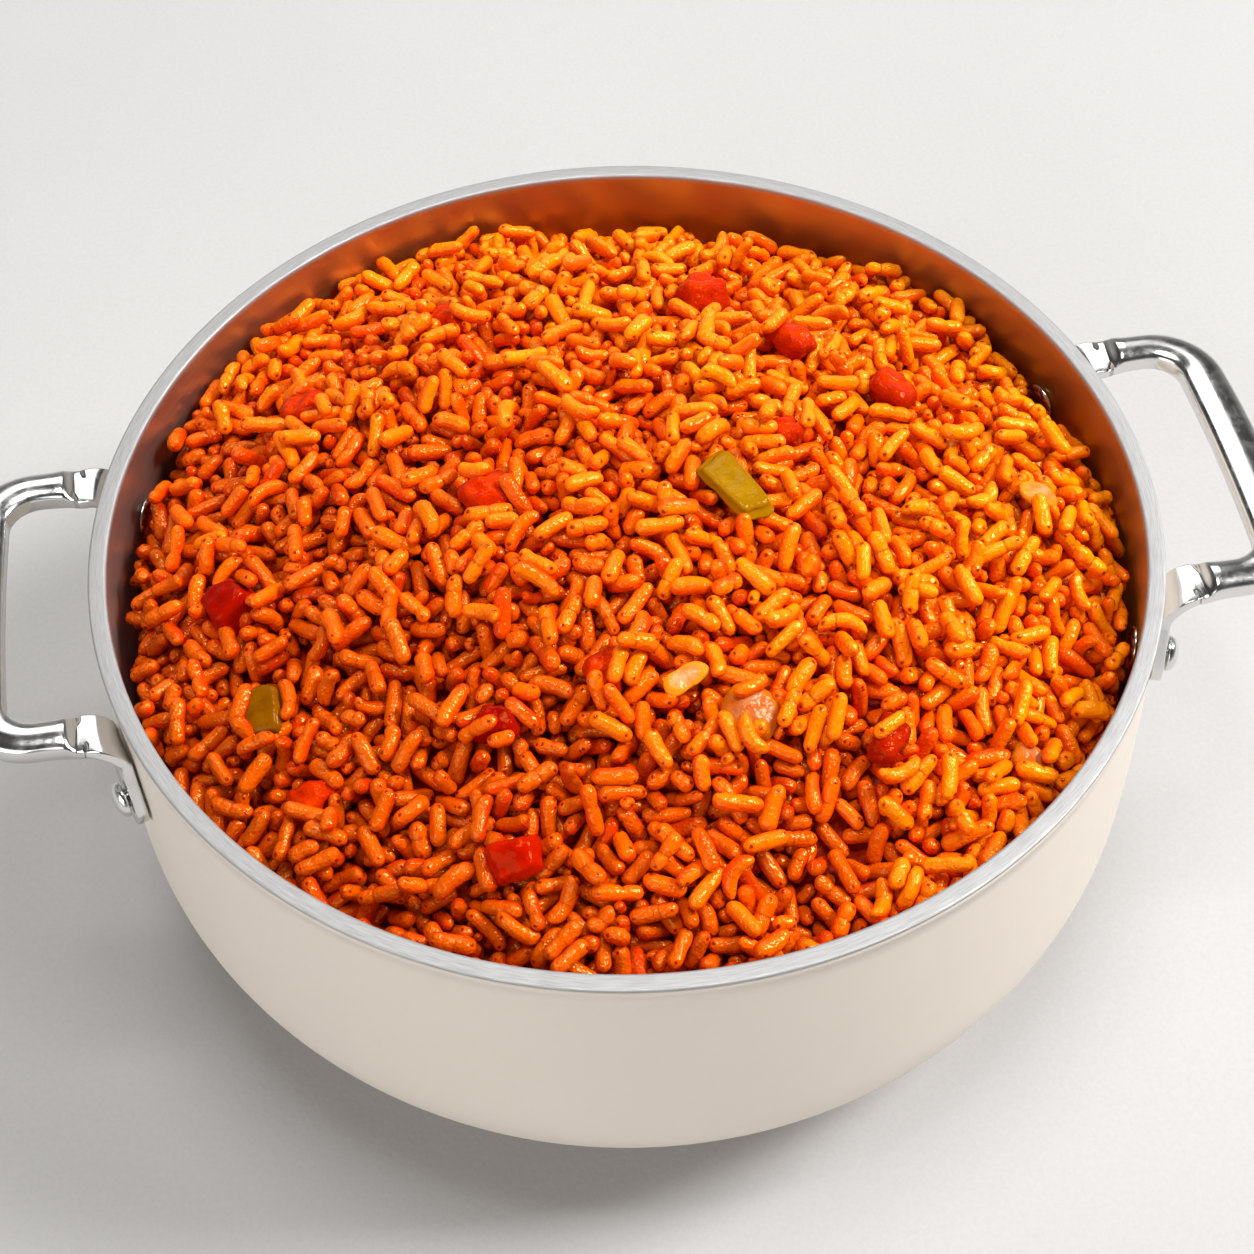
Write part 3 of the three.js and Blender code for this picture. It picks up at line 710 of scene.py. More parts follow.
def wet_flesh(name, colour, streak, edge, scale, shine, relief):
    """Cooked vegetable: a wet, uneven skin over flesh. Streak and edge are the
    colour's factors in the streaks and towards the edge of the bit, and scale
    is the number of streaks a metre. Some bits are darkened by the sauce and
    by painted shade."""
    finish = Finish(
        name, Roughness=0.13, Specular_IOR_Level=0.16, Specular_Tint=(*shine, 1.0)
    )
    streaks = finish.grain(scale, detail=4, roughness=0.6, stretch=(1, 2.2, 1))
    streaks = finish.between(streaks, 0.35, 0.65)
    tint = finish.mix(streaks, colour, shade(colour, *streak))
    rim = finish.between(finish.attribute("rim"), 0.55, 0.95)
    tint = finish.mix(rim, tint, shade(colour, *edge))
    # Sauce stain and painted shade: the listed bits are darker and redder.
    tint = finish.mix(finish.attribute("stain"), tint, (0.7, 0.5, 0.35), "MULTIPLY")
    lumps = finish.bump(finish.grain(450, detail=1), 0.7, 0.6 * relief)
    skin = finish.bump(finish.grain(1500, detail=0), 0.25, 0.7 * relief, under=lumps)
    return finish.feed(Base_Color=tint, Normal=skin)


# ---- Pot ---------------------------------------------------------------------


def coated_outside(inset):
    """The outside from the base's edge up to the neck, moved in by an inset."""
    low = [(BASE_RADIUS - 0.8 - inset, inset), (BASE_RADIUS - inset, FOOT_STEP)]
    round_bottom = arc((BASE_RADIUS, BELLY_HEIGHT), BOTTOM_ROUND - inset, -84, 0, 22)
    heights = np.linspace(BELLY_HEIGHT, NECK_HEIGHT, WALL_RINGS)[1:]
    upright = [(wall_radius(height) - inset, height) for height in heights]
    return low + round_bottom + upright


def build_pot(pot):
    """The metal pot with its rim, and the coating that wraps its outside."""
    coating = pot.coating / MM
    outside = coated_outside(coating)
    under_coating = RIM_RADIUS - coating - 0.1
    rim = [
        (NECK_RADIUS - coating, NECK_HEIGHT + 0.1),
        (under_coating, NECK_HEIGHT + 0.9),
        (under_coating, RIM_HEIGHT - 0.75),
        *((RIM_RADIUS - off, RIM_HEIGHT - down) for off, down in RIM_OUTER_CORNER),
        *((MOUTH_RADIUS + off, RIM_HEIGHT - down) for off, down in RIM_INNER_CORNER),
        (MOUTH_RADIUS + 0.05, NECK_HEIGHT + 1.0),
    ]
    heights = np.linspace(BELLY_HEIGHT, NECK_HEIGHT, WALL_RINGS)[:0:-1]
    inside = [(wall_radius(height) - WALL, height) for height in heights]
    inside += arc((BASE_RADIUS, BELLY_HEIGHT), BOTTOM_ROUND - WALL, 0, -90, 18)
    profile = [(0, 0.02), *outside, *rim, *inside, (0, FOOT_STEP + WALL)]
    points, faces = turned(profile, POT_FACETS)
    metal = brushed_metal(pot.metal)
    add_piece("pot_metal", make_mesh("pot_metal", points, faces), metal, "bare_metal", "pot")

    skin = coated_outside(0)
    lip = [
        (NECK_RADIUS, NECK_HEIGHT),
        (RIM_RADIUS - 0.2, NECK_HEIGHT + 0.6),
        (RIM_RADIUS - 0.04, NECK_HEIGHT + 1.1),
        (RIM_RADIUS - 0.04, RIM_HEIGHT - 1.15),
        (RIM_RADIUS - 0.12, RIM_HEIGHT - 0.95),
        (RIM_RADIUS - coating, RIM_HEIGHT - 0.9),
        (RIM_RADIUS - coating, NECK_HEIGHT + 1.1),
    ]
    lining = coated_outside(coating - 0.05)[::-1]
    points, faces = turned([*skin[:-1], *lip, *lining], POT_FACETS, closed=True)
    coat = make_mesh("pot_coating", points, faces)
    add_piece("pot_coating", coat, cream_coating(pot.cream), "cream_paint", "pot")


# ---- Handles -----------------------------------------------------------------


def foot_turn(drop):
    """The foot leans outwards on its way down from the bend to its end."""
    lean = (RIVET_TURN - FOOT_TOP_TURN) / (RIVET_HEIGHT - HANDLE_LEVEL + BEND_ROUND)
    return FOOT_TOP_TURN + lean * (FOOT_END_HEIGHT - HANDLE_LEVEL + BEND_ROUND) * drop


def foot_point(drop):
    """The outer face of the foot, a share of the way down."""
    height = np.interp(drop, [0, 1], [HANDLE_LEVEL - BEND_ROUND, FOOT_END_HEIGHT])
    return around(wall_radius(height) + GAP + PLATE, foot_turn(drop), height)


def half_loop():
    """Stations from the middle of the grip to the end of one foot: the middle
    of the underside, the way across, the width, and side and crown heights."""
    middle = GRIP_REACH - GRIP_WIDTH / 2
    corner_x = middle - GRIP_BOW - CORNER_ROUND
    corner_y = LEG_OFFSET - CORNER_ROUND
    outwards, sideways = np.array([1.0, 0, 0]), np.array([0, 1.0, 0])
    stations = []

    # Half the grip, which bows out a little in its middle.
    for share in np.linspace(0, 1, 10)[:-1]:
        point = np.array([middle - GRIP_BOW * share**2, corner_y * share, HANDLE_LEVEL])
        width = GRIP_WIDTH - GRIP_TAPER * share**2
        stations.append((point, outwards, width, BAR_SIDE, BAR_CROWN))

    # The corner between grip and leg.
    for share in np.linspace(0, 1, 17):
        angle = share * math.pi / 2
        across = np.array([math.cos(angle), math.sin(angle), 0])
        point = np.array([corner_x, corner_y, HANDLE_LEVEL]) + across * CORNER_ROUND
        width = np.interp(share, [0, 1], [GRIP_WIDTH - GRIP_TAPER, LEG_WIDTH])
        stations.append((point, across, width, BAR_SIDE, BAR_CROWN))

    # The leg, which runs to the pot along X.
    foot_top = foot_point(0)
    bend_start = foot_top + np.array([BEND_ROUND, -BEND_SHIFT, BEND_ROUND])
    leg_end = bend_start[0] + SCOOP_START
    for share in np.linspace(0, 1, 5)[1:]:
        x = np.interp(share, [0, 1], [corner_x, leg_end])
        point = np.array([x, LEG_OFFSET, HANDLE_LEVEL])
        width = LEG_WIDTH + LEG_FLARE * share**3
        stations.append((point, sideways, width, BAR_SIDE, BAR_CROWN))

    # The rounded top ends in a scoop, and the plate goes on from it.
    for share in np.linspace(0, 1, 8)[1:]:
        x = np.interp(share, [0, 1], [leg_end, bend_start[0] + SCOOP_END])
        run_out = (1 + math.cos(math.pi * share)) / 2
        point = np.array([x, LEG_OFFSET - 0.05 * share, HANDLE_LEVEL])
        side = PLATE - PLATE_CROWN + (BAR_SIDE - PLATE + PLATE_CROWN) * run_out
        crown = PLATE_CROWN + (BAR_CROWN - PLATE_CROWN) * run_out
        width = LEG_WIDTH + LEG_FLARE + SCOOP_FLARE * share
        stations.append((point, sideways, width, side, crown))

    # The plate bends down onto the wall.
    wall_tangent = around(1, FOOT_TOP_TURN + 90, 0)
    for share in np.linspace(0, 1, 13):
        angle = share * math.pi / 2
        across = sideways * (1 - share) + wall_tangent * share
        point = np.array([
            np.interp(math.sin(angle), [0, 1], [bend_start[0], foot_top[0]]),
            np.interp(share, [0, 1], [bend_start[1], foot_top[1]]),
            np.interp(math.cos(angle), [0, 1], [foot_top[2], HANDLE_LEVEL]),
        ])
        width = np.interp(share, [0, 1], [LEG_WIDTH + BEND_FLARE, PLATE_WIDTH])
        stations.append((point, across, width, PLATE - PLATE_CROWN, PLATE_CROWN))

    # The foot lies on the wall and has a round end.
    end_round = PLATE_WIDTH / 2
    drop_length = foot_top[2] - FOOT_END_HEIGHT
    straight = np.linspace(0, 1 - end_round / drop_length, 6)[1:]
    rounded = 1 - end_round / drop_length * (1 - np.sin(np.linspace(0, 1.52, 14)[1:]))
    for drop in [*straight, *rounded]:
        short = max(end_round - (1 - drop) * drop_length, 0)
        width = 2 * math.sqrt(max(end_round**2 - short**2, 0.01))
        across = around(1, foot_turn(drop) + 90, 0)
        sizes = (width, PLATE - PLATE_CROWN, PLATE_CROWN)
        stations.append((foot_point(drop), across, *sizes))
    return stations


def bar_outline(width, side, crown):
    """Flat underside, upright sides and a rounded top, in (across, up)."""
    half = width / 2
    soft = min(0.45, half * 0.4)
    under = [(-half, soft), (-half + soft * 0.3, soft * 0.3), (-half + soft, 0)]
    under += [(half - soft, 0), (half - soft * 0.3, soft * 0.3), (half, soft)]
    low = [(half, side * 0.55), (half, side - 0.25)]
    angles = np.radians(np.linspace(6, 174, 15))
    dome = [(half * math.cos(a), side + crown * math.sin(a)) for a in angles]
    high = [(-half, side - 0.25), (-half, side * 0.55)]
    return under + low + dome + high


def handle_mesh(name, degrees):
    """The bar along the half loop and its mirror image, turned to its side."""
    half = half_loop()
    flip = np.array([1, -1, 1])
    mirrored = [(p * flip, a * flip, *sizes) for p, a, *sizes in half[:0:-1]]
    stations = mirrored + half
    points = []
    for i, (point, across, *sizes) in enumerate(stations):
        before = stations[max(i - 1, 0)][0]
        after = stations[min(i + 1, len(stations) - 1)][0]
        along = (after - before) / np.linalg.norm(after - before)
        across = across - along * across.dot(along)
        across = across / np.linalg.norm(across)
        up = np.cross(across, along)
        points += [point + across * s + up * u for s, u in bar_outline(*sizes)]
    corners = len(bar_outline(1, 1, 1))
    quads = grid_faces(len(stations), corners)[:, ::-1]
    caps = end_fans(len(stations), corners, len(points), len(points) + 1)
    centres = [np.mean(points[:corners], axis=0), np.mean(points[-corners:], axis=0)]
    turn = np.array(Matrix.Rotation(math.radians(degrees), 3, "Z"))
    points = np.vstack([points, centres]) @ turn.T
    return make_mesh(name, points, [quads, *caps])


def build_handles(pot):
    steel = polished_steel(pot.steel)
    for side, degrees in (("right", 0), ("left", 180)):
        name = f"loop_handle_{side}"
        mesh = handle_mesh(name, degrees)
        add_piece(name, mesh, steel, "polished_steel", f"handle_{side}")


# ---- Rivets ------------------------------------------------------------------


def inner_head_seat():
    """Distance from the pot's axis to the back of a rivet's inner head."""
    return wall_radius(RIVET_HEIGHT) - WALL - GAP - HEAD_SETBACK


def build_rivets(pot):
    """Each rivet is turned as if upright, laid down and turned to its foot."""
    steel = polished_steel(pot.steel)
    inner_seat = inner_head_seat()
    outer_seat = wall_radius(RIVET_HEIGHT) + GAP + PLATE + GAP + HEAD_SETBACK
    radius, height = INNER_HEAD
    profile = [(0, inner_seat - height)]
    profile += [
        (radius * math.sin(a), inner_seat - 0.25 - (height - 0.25) * math.cos(a))
        for a in np.linspace(0.15, math.pi / 2, 9)
    ]
    profile += [(radius, inner_seat - 0.1), (radius - 0.15, inner_seat)]
    profile += [(RIVET_SHANK, inner_seat), (RIVET_SHANK, outer_seat)]
    radius, height = OUTER_HEAD
    profile += [(radius - 0.2, outer_seat), (radius, outer_seat + 0.2)]
    profile += [
        (radius * math.cos(a), outer_seat + 0.5 + (height - 0.5) * math.sin(a))
        for a in np.linspace(0, math.pi / 2 - 0.15, 9)
    ]
    profile += [(0, outer_seat + height)]
    points, faces = turned(profile, 36)
    lying = points[:, [2, 1, 0]] * [1, 1, -1]
    for i, degrees in enumerate(RIVET_TURNS):
        turn = np.array(Matrix.Rotation(math.radians(degrees), 3, "Z"))
        placed = lying @ turn.T + [0, 0, RIVET_HEIGHT]
        name = f"domed_rivet_{i + 1}"
        mesh = make_mesh(name, placed, faces)
        add_piece(name, mesh, steel, "polished_steel", f"rivet_{i + 1}")


# ---- Shape of the heap -------------------------------------------------------


def edge_height(angle):
    """The rice at the wall rises and falls a little, and dips by one rivet."""
    uneven = 1.7 * np.sin(3 * angle + 0.7) + 1.2 * np.sin(7 * angle + 2.1)
    off_rivet = (np.degrees(angle) - RIVET_TURN + 180) % 360 - 180
    dip = RIVET_DIP * np.exp(-((off_rivet / RIVET_DIP_TURN) ** 2))
    return RIM_HEIGHT - HEAP_EDGE_DROP + uneven - dip


def heap_height(x, y):
    """The smooth heap under the grains: a shallow dome with a few soft lumps."""
    share = np.hypot(x, y) / HEAP_RADIUS
    lumps = 0.9 * np.sin(x / 17 + 1.3) * np.cos(y / 21) + 0.6 * np.sin((x + y) / 11)
    middle = RIM_HEIGHT - HEAP_EDGE_DROP
    edge = middle + (edge_height(np.arctan2(y, x)) - middle) * share**4
    return edge + HEAP_RISE * (1 - share**2) + lumps * (1 - share**6)


def heap_normal(x, y, reach=3.0):
    """The way straight out of the heap, from heights so far away on each side."""
    slope_x = (heap_height(x + reach, y) - heap_height(x - reach, y)) / (2 * reach)
    slope_y = (heap_height(x, y + reach) - heap_height(x, y - reach)) / (2 * reach)
    normal = np.stack([-slope_x, -slope_y, np.ones_like(slope_x)], axis=-1)
    return normal / np.linalg.norm(normal, axis=-1, keepdims=True)


# ---- Vegetable bits ----------------------------------------------------------


def seeded_shares(seed, count):
    """The model's own random numbers between 0 and 1."""
    word = 0xFFFFFFFF
    state = seed
    shares = []
    for _ in range(count):
        state = (state + 0x6D2B79F5) & word
        mixed = (state ^ (state >> 15)) * (1 | state) & word
        mixed ^= (mixed + ((mixed ^ (mixed >> 7)) * (61 | mixed) & word)) & word
        shares.append(((mixed ^ (mixed >> 14)) & word) / 2**32)
    return shares


def bit_places():
    """Kind, node, seed, form, middle and axes of every bit."""
    kinds = [
        ("tomato", TOMATOES),
        ("red_pepper", RED_PEPPERS),
        ("green_pepper", GREEN_PEPPERS),
        ("onion", ONIONS),
    ]
    places = []
    for kind, (name, rows) in enumerate(kinds):
        for i, (x, y, size, square, turn, lift) in enumerate(rows):
            slope = heap_normal(np.float64(x), np.float64(y))
            lay = Vector((0, 0, 1)).rotation_difference(Vector(slope))
            lay = lay @ Quaternion((0, 0, 1), math.radians(turn))
            place = np.array([x, y, heap_height(x, y)]) + slope * lift
            places.append({
                "kind": name,
                "node": f"{name}_{i + 1}",
                "seed": 100 * (kind + 1) + i,
                "size": np.array(size, dtype=float),
                "square": square,
                "place": place,
                "axes": np.array(lay.to_matrix()),
            })
    return places


def bit_mesh(bit, dent_depth):
    """A rounded block with slightly uneven faces, then the dents of cooking.
    Pepper is cut more squarely, and its blocks are a little wedge-shaped."""
    form = bmesh.new()
    bmesh.ops.create_icosphere(form, subdivisions=4, radius=1)
    form.verts.ensure_lookup_table()
    points = np.array([v.co[:] for v in form.verts])
    faces = np.array([[v.index for v in face.verts] for face in form.faces])
    form.free()
    points /= np.linalg.norm(points, axis=1, keepdims=True)
    phases = np.array(seeded_shares(bit["seed"], 3)) * 2 * math.pi
    is_pepper = "pepper" in bit["kind"]
    square = bit["square"] * (PEPPER_SQUARE if is_pepper else 1)
    reach = (np.abs(points) ** square).sum(axis=1) ** (-1 / square)
    uneven = 1 + 0.06 * np.sin(3 * points[:, 0] + phases[0])
    uneven += 0.06 * np.sin(3 * points[:, 1] + phases[1])
    uneven += 0.04 * np.sin(4 * points[:, 2] + phases[2])
    shaped = points * (reach * uneven)[:, None] * bit["size"] / 2
    if is_pepper:
        rise = shaped[:, 2] / bit["size"][2] * 2
        across = shaped[:, 0] / bit["size"][0] * 2
        shaped[:, 0] *= 1 - PEPPER_WEDGE * rise
        shaped[:, 1] *= (1 - PEPPER_WEDGE_SIDE * rise) * (1 - PEPPER_WEDGE * across)
    offset = Vector((bit["seed"], 0.5, 0.25))
    dents = np.array([
        sum(depth * noise.noise(Vector(p) * pitch + offset) for depth, pitch in DENTS)
        for p in shaped
    ])
    shaped += points * (dents * dent_depth)[:, None]
    rim = np.hypot(*(shaped[:, :2] / bit["size"][:2] * 2).T)
    placed = shaped @ bit["axes"].T + bit["place"]
    stain = np.full(len(rim), float(bit["node"] in STAINED_AND_SHADED_BITS))
    return make_mesh(bit["node"], placed, [faces], {"rim": rim, "stain": stain})


def build_vegetables(vegetables):
    """Each kind has its slot, the depth of its dents and its finish."""
    tomato = wet_flesh(
        "Cooked tomato", vegetables.tomato, streak=(1.15, 2.8, 1), edge=(0.8, 1, 1),
        scale=260, shine=WARM_SHINE, relief=1,
    )
    red_pepper = wet_flesh(
        "Red pepper", vegetables.red_pepper, streak=(0.75, 0.8, 0.8), edge=(1, 1.6, 1),
        scale=160, shine=WARM_SHINE, relief=0.5,
    )
    green_pepper = wet_flesh(
        "Green pepper", vegetables.green_pepper, streak=(0.8, 0.72, 0.6),
        edge=(0.9, 0.8, 0.5), scale=150, shine=(1.0, 0.85, 0.35), relief=0.35,
    )
    onion = wet_flesh(
        "Cooked onion", vegetables.onion, streak=(0.95, 1.7, 8), edge=(1.05, 1.3, 0.3),
        scale=220, shine=(1.0, 0.85, 0.6), relief=0.6,
    )
    finishes = {
        "tomato": ("cooked_tomato", 1.6, tomato),
        "red_pepper": ("red_pepper", 0.9, red_pepper),
        "green_pepper": ("green_pepper", 0.4, green_pepper),
        "onion": ("cooked_onion", 0.6, onion),
    }
    for bit in bit_places():
        slot, dent_depth, material = finishes[bit["kind"]]
        mesh = bit_mesh(bit, dent_depth)
        add_piece(f"{bit['node']}_bit", mesh, material, slot, bit["node"])


# ---- Rice --------------------------------------------------------------------


def build_core(rice):
    """The rice under the top layers, as one uneven solid in the pot."""
    facets, rows = 120, 48
    angles = np.arange(facets) * 2 * math.pi / facets
    rings = []
    for radius in np.linspace(0, CORE_RADIUS, rows)[1:]:
        x, y = radius * np.cos(angles), radius * np.sin(angles)
        waves = CORE_RELIEF * np.sin(x * 1.1 + 2 * np.sin(y * 0.7)) * np.sin(y * 1.2)
        top = heap_height(x, y) - CORE_DROP - CORE_RELIEF + waves
        rings.append(np.stack([x, y, top], axis=-1))
    inside = BOTTOM_ROUND - WALL - CORE_GAP
    shoulder = BELLY_HEIGHT + 8
    side = [(wall_radius(shoulder) - WALL - CORE_GAP, shoulder)]
    side += arc((BASE_RADIUS, BELLY_HEIGHT), inside, 0, -90, 8)
    for radius, height in side:
        x, y = radius * np.cos(angles), radius * np.sin(angles)
        rings.append(np.stack([x, y, np.full(facets, height)], axis=-1))
    poles = [[0, 0, heap_height(0, 0) - CORE_DROP], [0, 0, FOOT_STEP + WALL + CORE_GAP]]
    points = np.vstack([*rings, poles])
    quads = grid_faces(len(rings), facets)[:, ::-1]
    caps = end_fans(len(rings), facets, len(points) - 2, len(points) - 1)
    mesh = make_mesh("rice_core", points, [quads, *caps])
    add_piece("rice_core", mesh, sauce_and_shade_core(rice), "cooked_rice", "rice")


def nearby_pairs(points, owners, cell):
    """Pairs of points in the same or in neighbouring cells, of other owners."""
    cells = np.floor(points / cell).astype(np.int64)
    cells -= cells.min(axis=0) - 1
    spans = cells.max(axis=0) + 3
    keys = (cells[:, 0] * spans[1] + cells[:, 1]) * spans[2] + cells[:, 2]
    order = np.argsort(keys, kind="stable")
    sorted_keys = keys[order]
    pairs = []
    for dx in (-1, 0, 1):
        for dy in (-1, 0, 1):
            for dz in (-1, 0, 1):
                step = (dx * spans[1] + dy) * spans[2] + dz
                if step < 0:
                    continue
                low = np.searchsorted(sorted_keys, sorted_keys + step, "left")
                high = np.searchsorted(sorted_keys, sorted_keys + step, "right")
                count = high - low
                first = np.repeat(np.arange(len(keys)), count)
                ahead = np.arange(count.sum()) - np.repeat(np.cumsum(count) - count, count)
                second = np.repeat(low, count) + ahead
                fresh = second > first if step == 0 else np.ones(len(first), bool)
                a, b = order[first[fresh]], order[second[fresh]]
                apart = owners[a] != owners[b]
                pairs.append(np.stack([a[apart], b[apart]]))
    return np.hstack(pairs)


def scatter(rice, draw, count, low, high, lean):
    """Grains at random over the heap, between low and high above the core, not
    yet at rest. They lie along the slope, give or take the lean."""
    lengths = draw.normal(rice.grain_length / MM, LENGTH_SPREAD, count)
    lot = draw.random(count)
    shares, losses = zip(*SHORTER)
    lengths -= np.select([lot < share for share in shares], losses, 0)
    radii = draw.normal(rice.grain_width / MM / 2, RADIUS_SPREAD, count)
    radii[lot < FRAGMENTS] *= FRAGMENT_THIN
    reach = SCATTER_RADIUS * np.sqrt(draw.random(count))
    turn = draw.random(count) * 2 * math.pi
    x, y = reach * np.cos(turn), reach * np.sin(turn)
    up = heap_normal(x, y)
    centres = np.stack([x, y, heap_height(x, y) - CORE_DROP], axis=-1)
    centres += up * draw.uniform(low, high, (count, 1))
    flat = draw.normal(size=(count, 3))
    flat -= up * (flat * up).sum(axis=1, keepdims=True)
    flat /= np.linalg.norm(flat, axis=1, keepdims=True)
    tilt = draw.normal(size=(count, 1)) * lean
    return {
        "centre": centres,
        "axis": flat * np.cos(tilt) + up * np.sin(tilt),
        "length": np.clip(lengths, *LENGTHS),
        "radius": np.clip(radii, *RADII),
    }


def in_clumps(grains, keep, draw):
    """Keeps so many grains, more where the last spoonfuls fell, and none that
    would bury a vegetable bit."""
    x, y = grains["centre"][:, 0], grains["centre"][:, 1]
    clump = np.sin(x / 6.1 + 2 * np.sin(y / 9.7)) * np.sin(y / 5.3 + 1.7 * np.sin(x / 8.9))
    rank = draw.random(len(x)) - CLUMPING * clump
    for bit in bit_places():
        near = np.hypot(x - bit["place"][0], y - bit["place"][1])
        margin = BARE_MARGIN if bit["node"] in BARE_BITS else 0
        rank[near < bit["size"][:2].mean() / 2 + margin] = math.inf
    return chosen(grains, np.sort(np.argsort(rank, kind="stable")[:keep]))


def chosen(grains, which):
    """Some of the grains, by their numbers or by a mask."""
    return {key: values[which] for key, values in grains.items()}


def push_apart(points, radii, give, pairs):
    """How far each sphere has to move so that none overlaps another's."""
    a, b = pairs
    between = points[a] - points[b]
    distance = np.sqrt((between**2).sum(axis=1)) + 1e-9
    overlap = radii[a] + radii[b] - distance
    hit = overlap > 0
    a, b = a[hit], b[hit]
    shove = between[hit] * (overlap[hit] / distance[hit] / (give[a] + give[b]))[:, None]
    push = np.stack([
        np.bincount(a, shove[:, k] * give[a], len(points))
        - np.bincount(b, shove[:, k] * give[b], len(points))
        for k in range(3)
    ], axis=-1)
    hits = np.bincount(a, minlength=len(points)) + np.bincount(b, minlength=len(points))
    return push, hits.astype(float)


def push_off(points, radii, push, hits, bits, heads):
    """Adds what the wall, the rivets and the vegetable bits do."""
    out = np.hypot(points[:, 0], points[:, 1])
    limit = wall_radius(points[:, 2]) - WALL - WALL_ROOM - radii
    hit = out > limit
    push[hit, :2] += points[hit, :2] * ((limit - out)[hit] / out[hit])[:, None]
    hits[hit] += 1
    for head in heads:
        away = points - head
        distance = np.linalg.norm(away, axis=1)
        room = INNER_HEAD[0] + radii
        hit = distance < room
        push[hit] += away[hit] * ((room - distance)[hit] / distance[hit])[:, None]
        hits[hit] += 1
    for bit in bits:
        room = bit["size"] / 2 * BIT_SHARE + radii[:, None] * GRAIN_SHARE
        if bit["node"] in BARE_BITS:
            room[:, 2] += BARE_ROOM
        share = (points - bit["place"]) @ bit["axes"] / room
        depth = np.linalg.norm(share, axis=1)
        hit = depth < 1
        way = share[hit] / room[hit]
        way /= np.linalg.norm(way, axis=1, keepdims=True) + 1e-9
        amount = (1 - depth[hit]) * room[hit].min(axis=1)
        push[hit] += (way * amount[:, None]) @ bit["axes"].T
        hits[hit] += 1


def relax(grains, give, pull, steps, held_share=1.0):
    """Lets grains down along the slope of the heap. Each is a short row of
    spheres that can turn; spheres that overlap move apart, the core holds.
    A grain that something holds up keeps a share of its pull."""
    count = len(grains["length"])
    centres, axes, radii = grains["centre"], grains["axis"], grains["radius"]
    half = grains["length"] / 2 - radii
    owners = np.repeat(np.arange(count), GRAIN_SPHERES)
    stations = np.tile(np.linspace(-1, 1, GRAIN_SPHERES), count) * half[owners]
    sphere_radii, sphere_give = radii[owners], give[owners]
    inertia = np.bincount(owners, stations**2, count)
    bits = bit_places()
    seat = inner_head_seat() - HEAD_DEPTH
    heads = [around(seat, degrees, RIVET_HEIGHT) for degrees in RIVET_TURNS]

    for step in range(steps):
        points = centres[owners] + axes[owners] * stations[:, None]
        if step % PAIR_STEPS == 0:
            pairs = nearby_pairs(points, owners, 2 * radii.max() + PAIR_REACH)
        push, hits = push_apart(points, sphere_radii, sphere_give, pairs)
        push_off(points, sphere_radii, push, hits, bits, heads)

        up = heap_normal(centres[:, 0], centres[:, 1], reach=1.5)
        above = points[:, 2] - heap_height(points[:, 0], points[:, 1]) + CORE_DROP
        sunk = sphere_radii - above * up[owners, 2]
        hit = sunk > 0
        push[hit] += up[owners[hit]] * sunk[hit, None]
        hits[hit] += 1

        push /= np.sqrt(np.maximum(hits, 1))[:, None]
        move = np.stack([np.bincount(owners, push[:, k], count) for k in range(3)], axis=-1)
        lever = push * stations[:, None]
        spin = np.stack([np.bincount(owners, lever[:, k], count) for k in range(3)], axis=-1)
        spin /= inertia[:, None]
        spin -= axes * (spin * axes).sum(axis=1, keepdims=True)
        held = (move * up).sum(axis=1) > HELD_FROM
        sink = pull * np.where(held, held_share, 1)
        centres = centres + move * MOVE_SHARE - up * sink[:, None]
        axes = axes + spin * SPIN_SHARE
        axes /= np.linalg.norm(axes, axis=1, keepdims=True)
    return {**grains, "centre": centres, "axis": axes}


def settle(rice, draw):
    """A bed of grains on the core, and the last ones lying loose on the bed."""
    bed = scatter(rice, draw, rice.bed, *BED_HEIGHTS, BED_LEAN)
    bed = relax(bed, np.ones(rice.bed), np.full(rice.bed, BED_PULL), BED_STEPS)
    loose = scatter(rice, draw, rice.loose * SPARE, *LOOSE_HEIGHTS, LOOSE_LEAN)
    loose = in_clumps(loose, rice.loose, draw)
    grains = {key: np.concatenate([bed[key], loose[key]]) for key in bed}
    is_loose = np.arange(rice.bed + rice.loose) >= rice.bed
    give = np.where(is_loose, 1.0, BED_GIVE)
    pull = np.where(is_loose, LOOSE_PULL, 0.0)
    grains = relax(grains, give, pull, LOOSE_STEPS, HELD_SHARE)
    grains = relax(grains, give, np.zeros(len(give)), REST_STEPS)
    centres = grains["centre"]
    grains["depth"] = heap_height(centres[:, 0], centres[:, 1]) - centres[:, 2]
    grains["loose"] = is_loose
    rise = np.abs(grains["axis"][:, 2]) * (grains["length"] / 2 - grains["radius"])
    return chosen(grains, centres[:, 2] + rise + grains["radius"] < HIGHEST)


def grain_rows(body_rings, cap_rings):
    """Rings along a grain: share of the straight part, share of a cap, girth.
    The ends are blunter than half a ball."""
    body = [(share, 0, 1) for share in np.linspace(-1, 1, body_rings)]
    angles = np.linspace(0, math.pi / 2, cap_rings + 2)[1:-1]
    end = [(1, CAP_REACH * math.sin(a), math.cos(a) ** CAP_BLUNT) for a in angles]
    start = [(-share, -cap, girth) for share, cap, girth in end[::-1]]
    return np.array([*start, *body, *end])


def grain_frames(grains, draw):
    """For each grain its axis, a side that looks up, give or take, and a third."""
    axis = grains["axis"]
    up = heap_normal(grains["centre"][:, 0], grains["centre"][:, 1])
    side = up + draw.normal(size=up.shape) * TURN_SPREAD
    side -= axis * (side * axis).sum(axis=1, keepdims=True)
    side /= np.linalg.norm(side, axis=1, keepdims=True)
    return np.stack([axis, side, np.cross(axis, side)], axis=1)


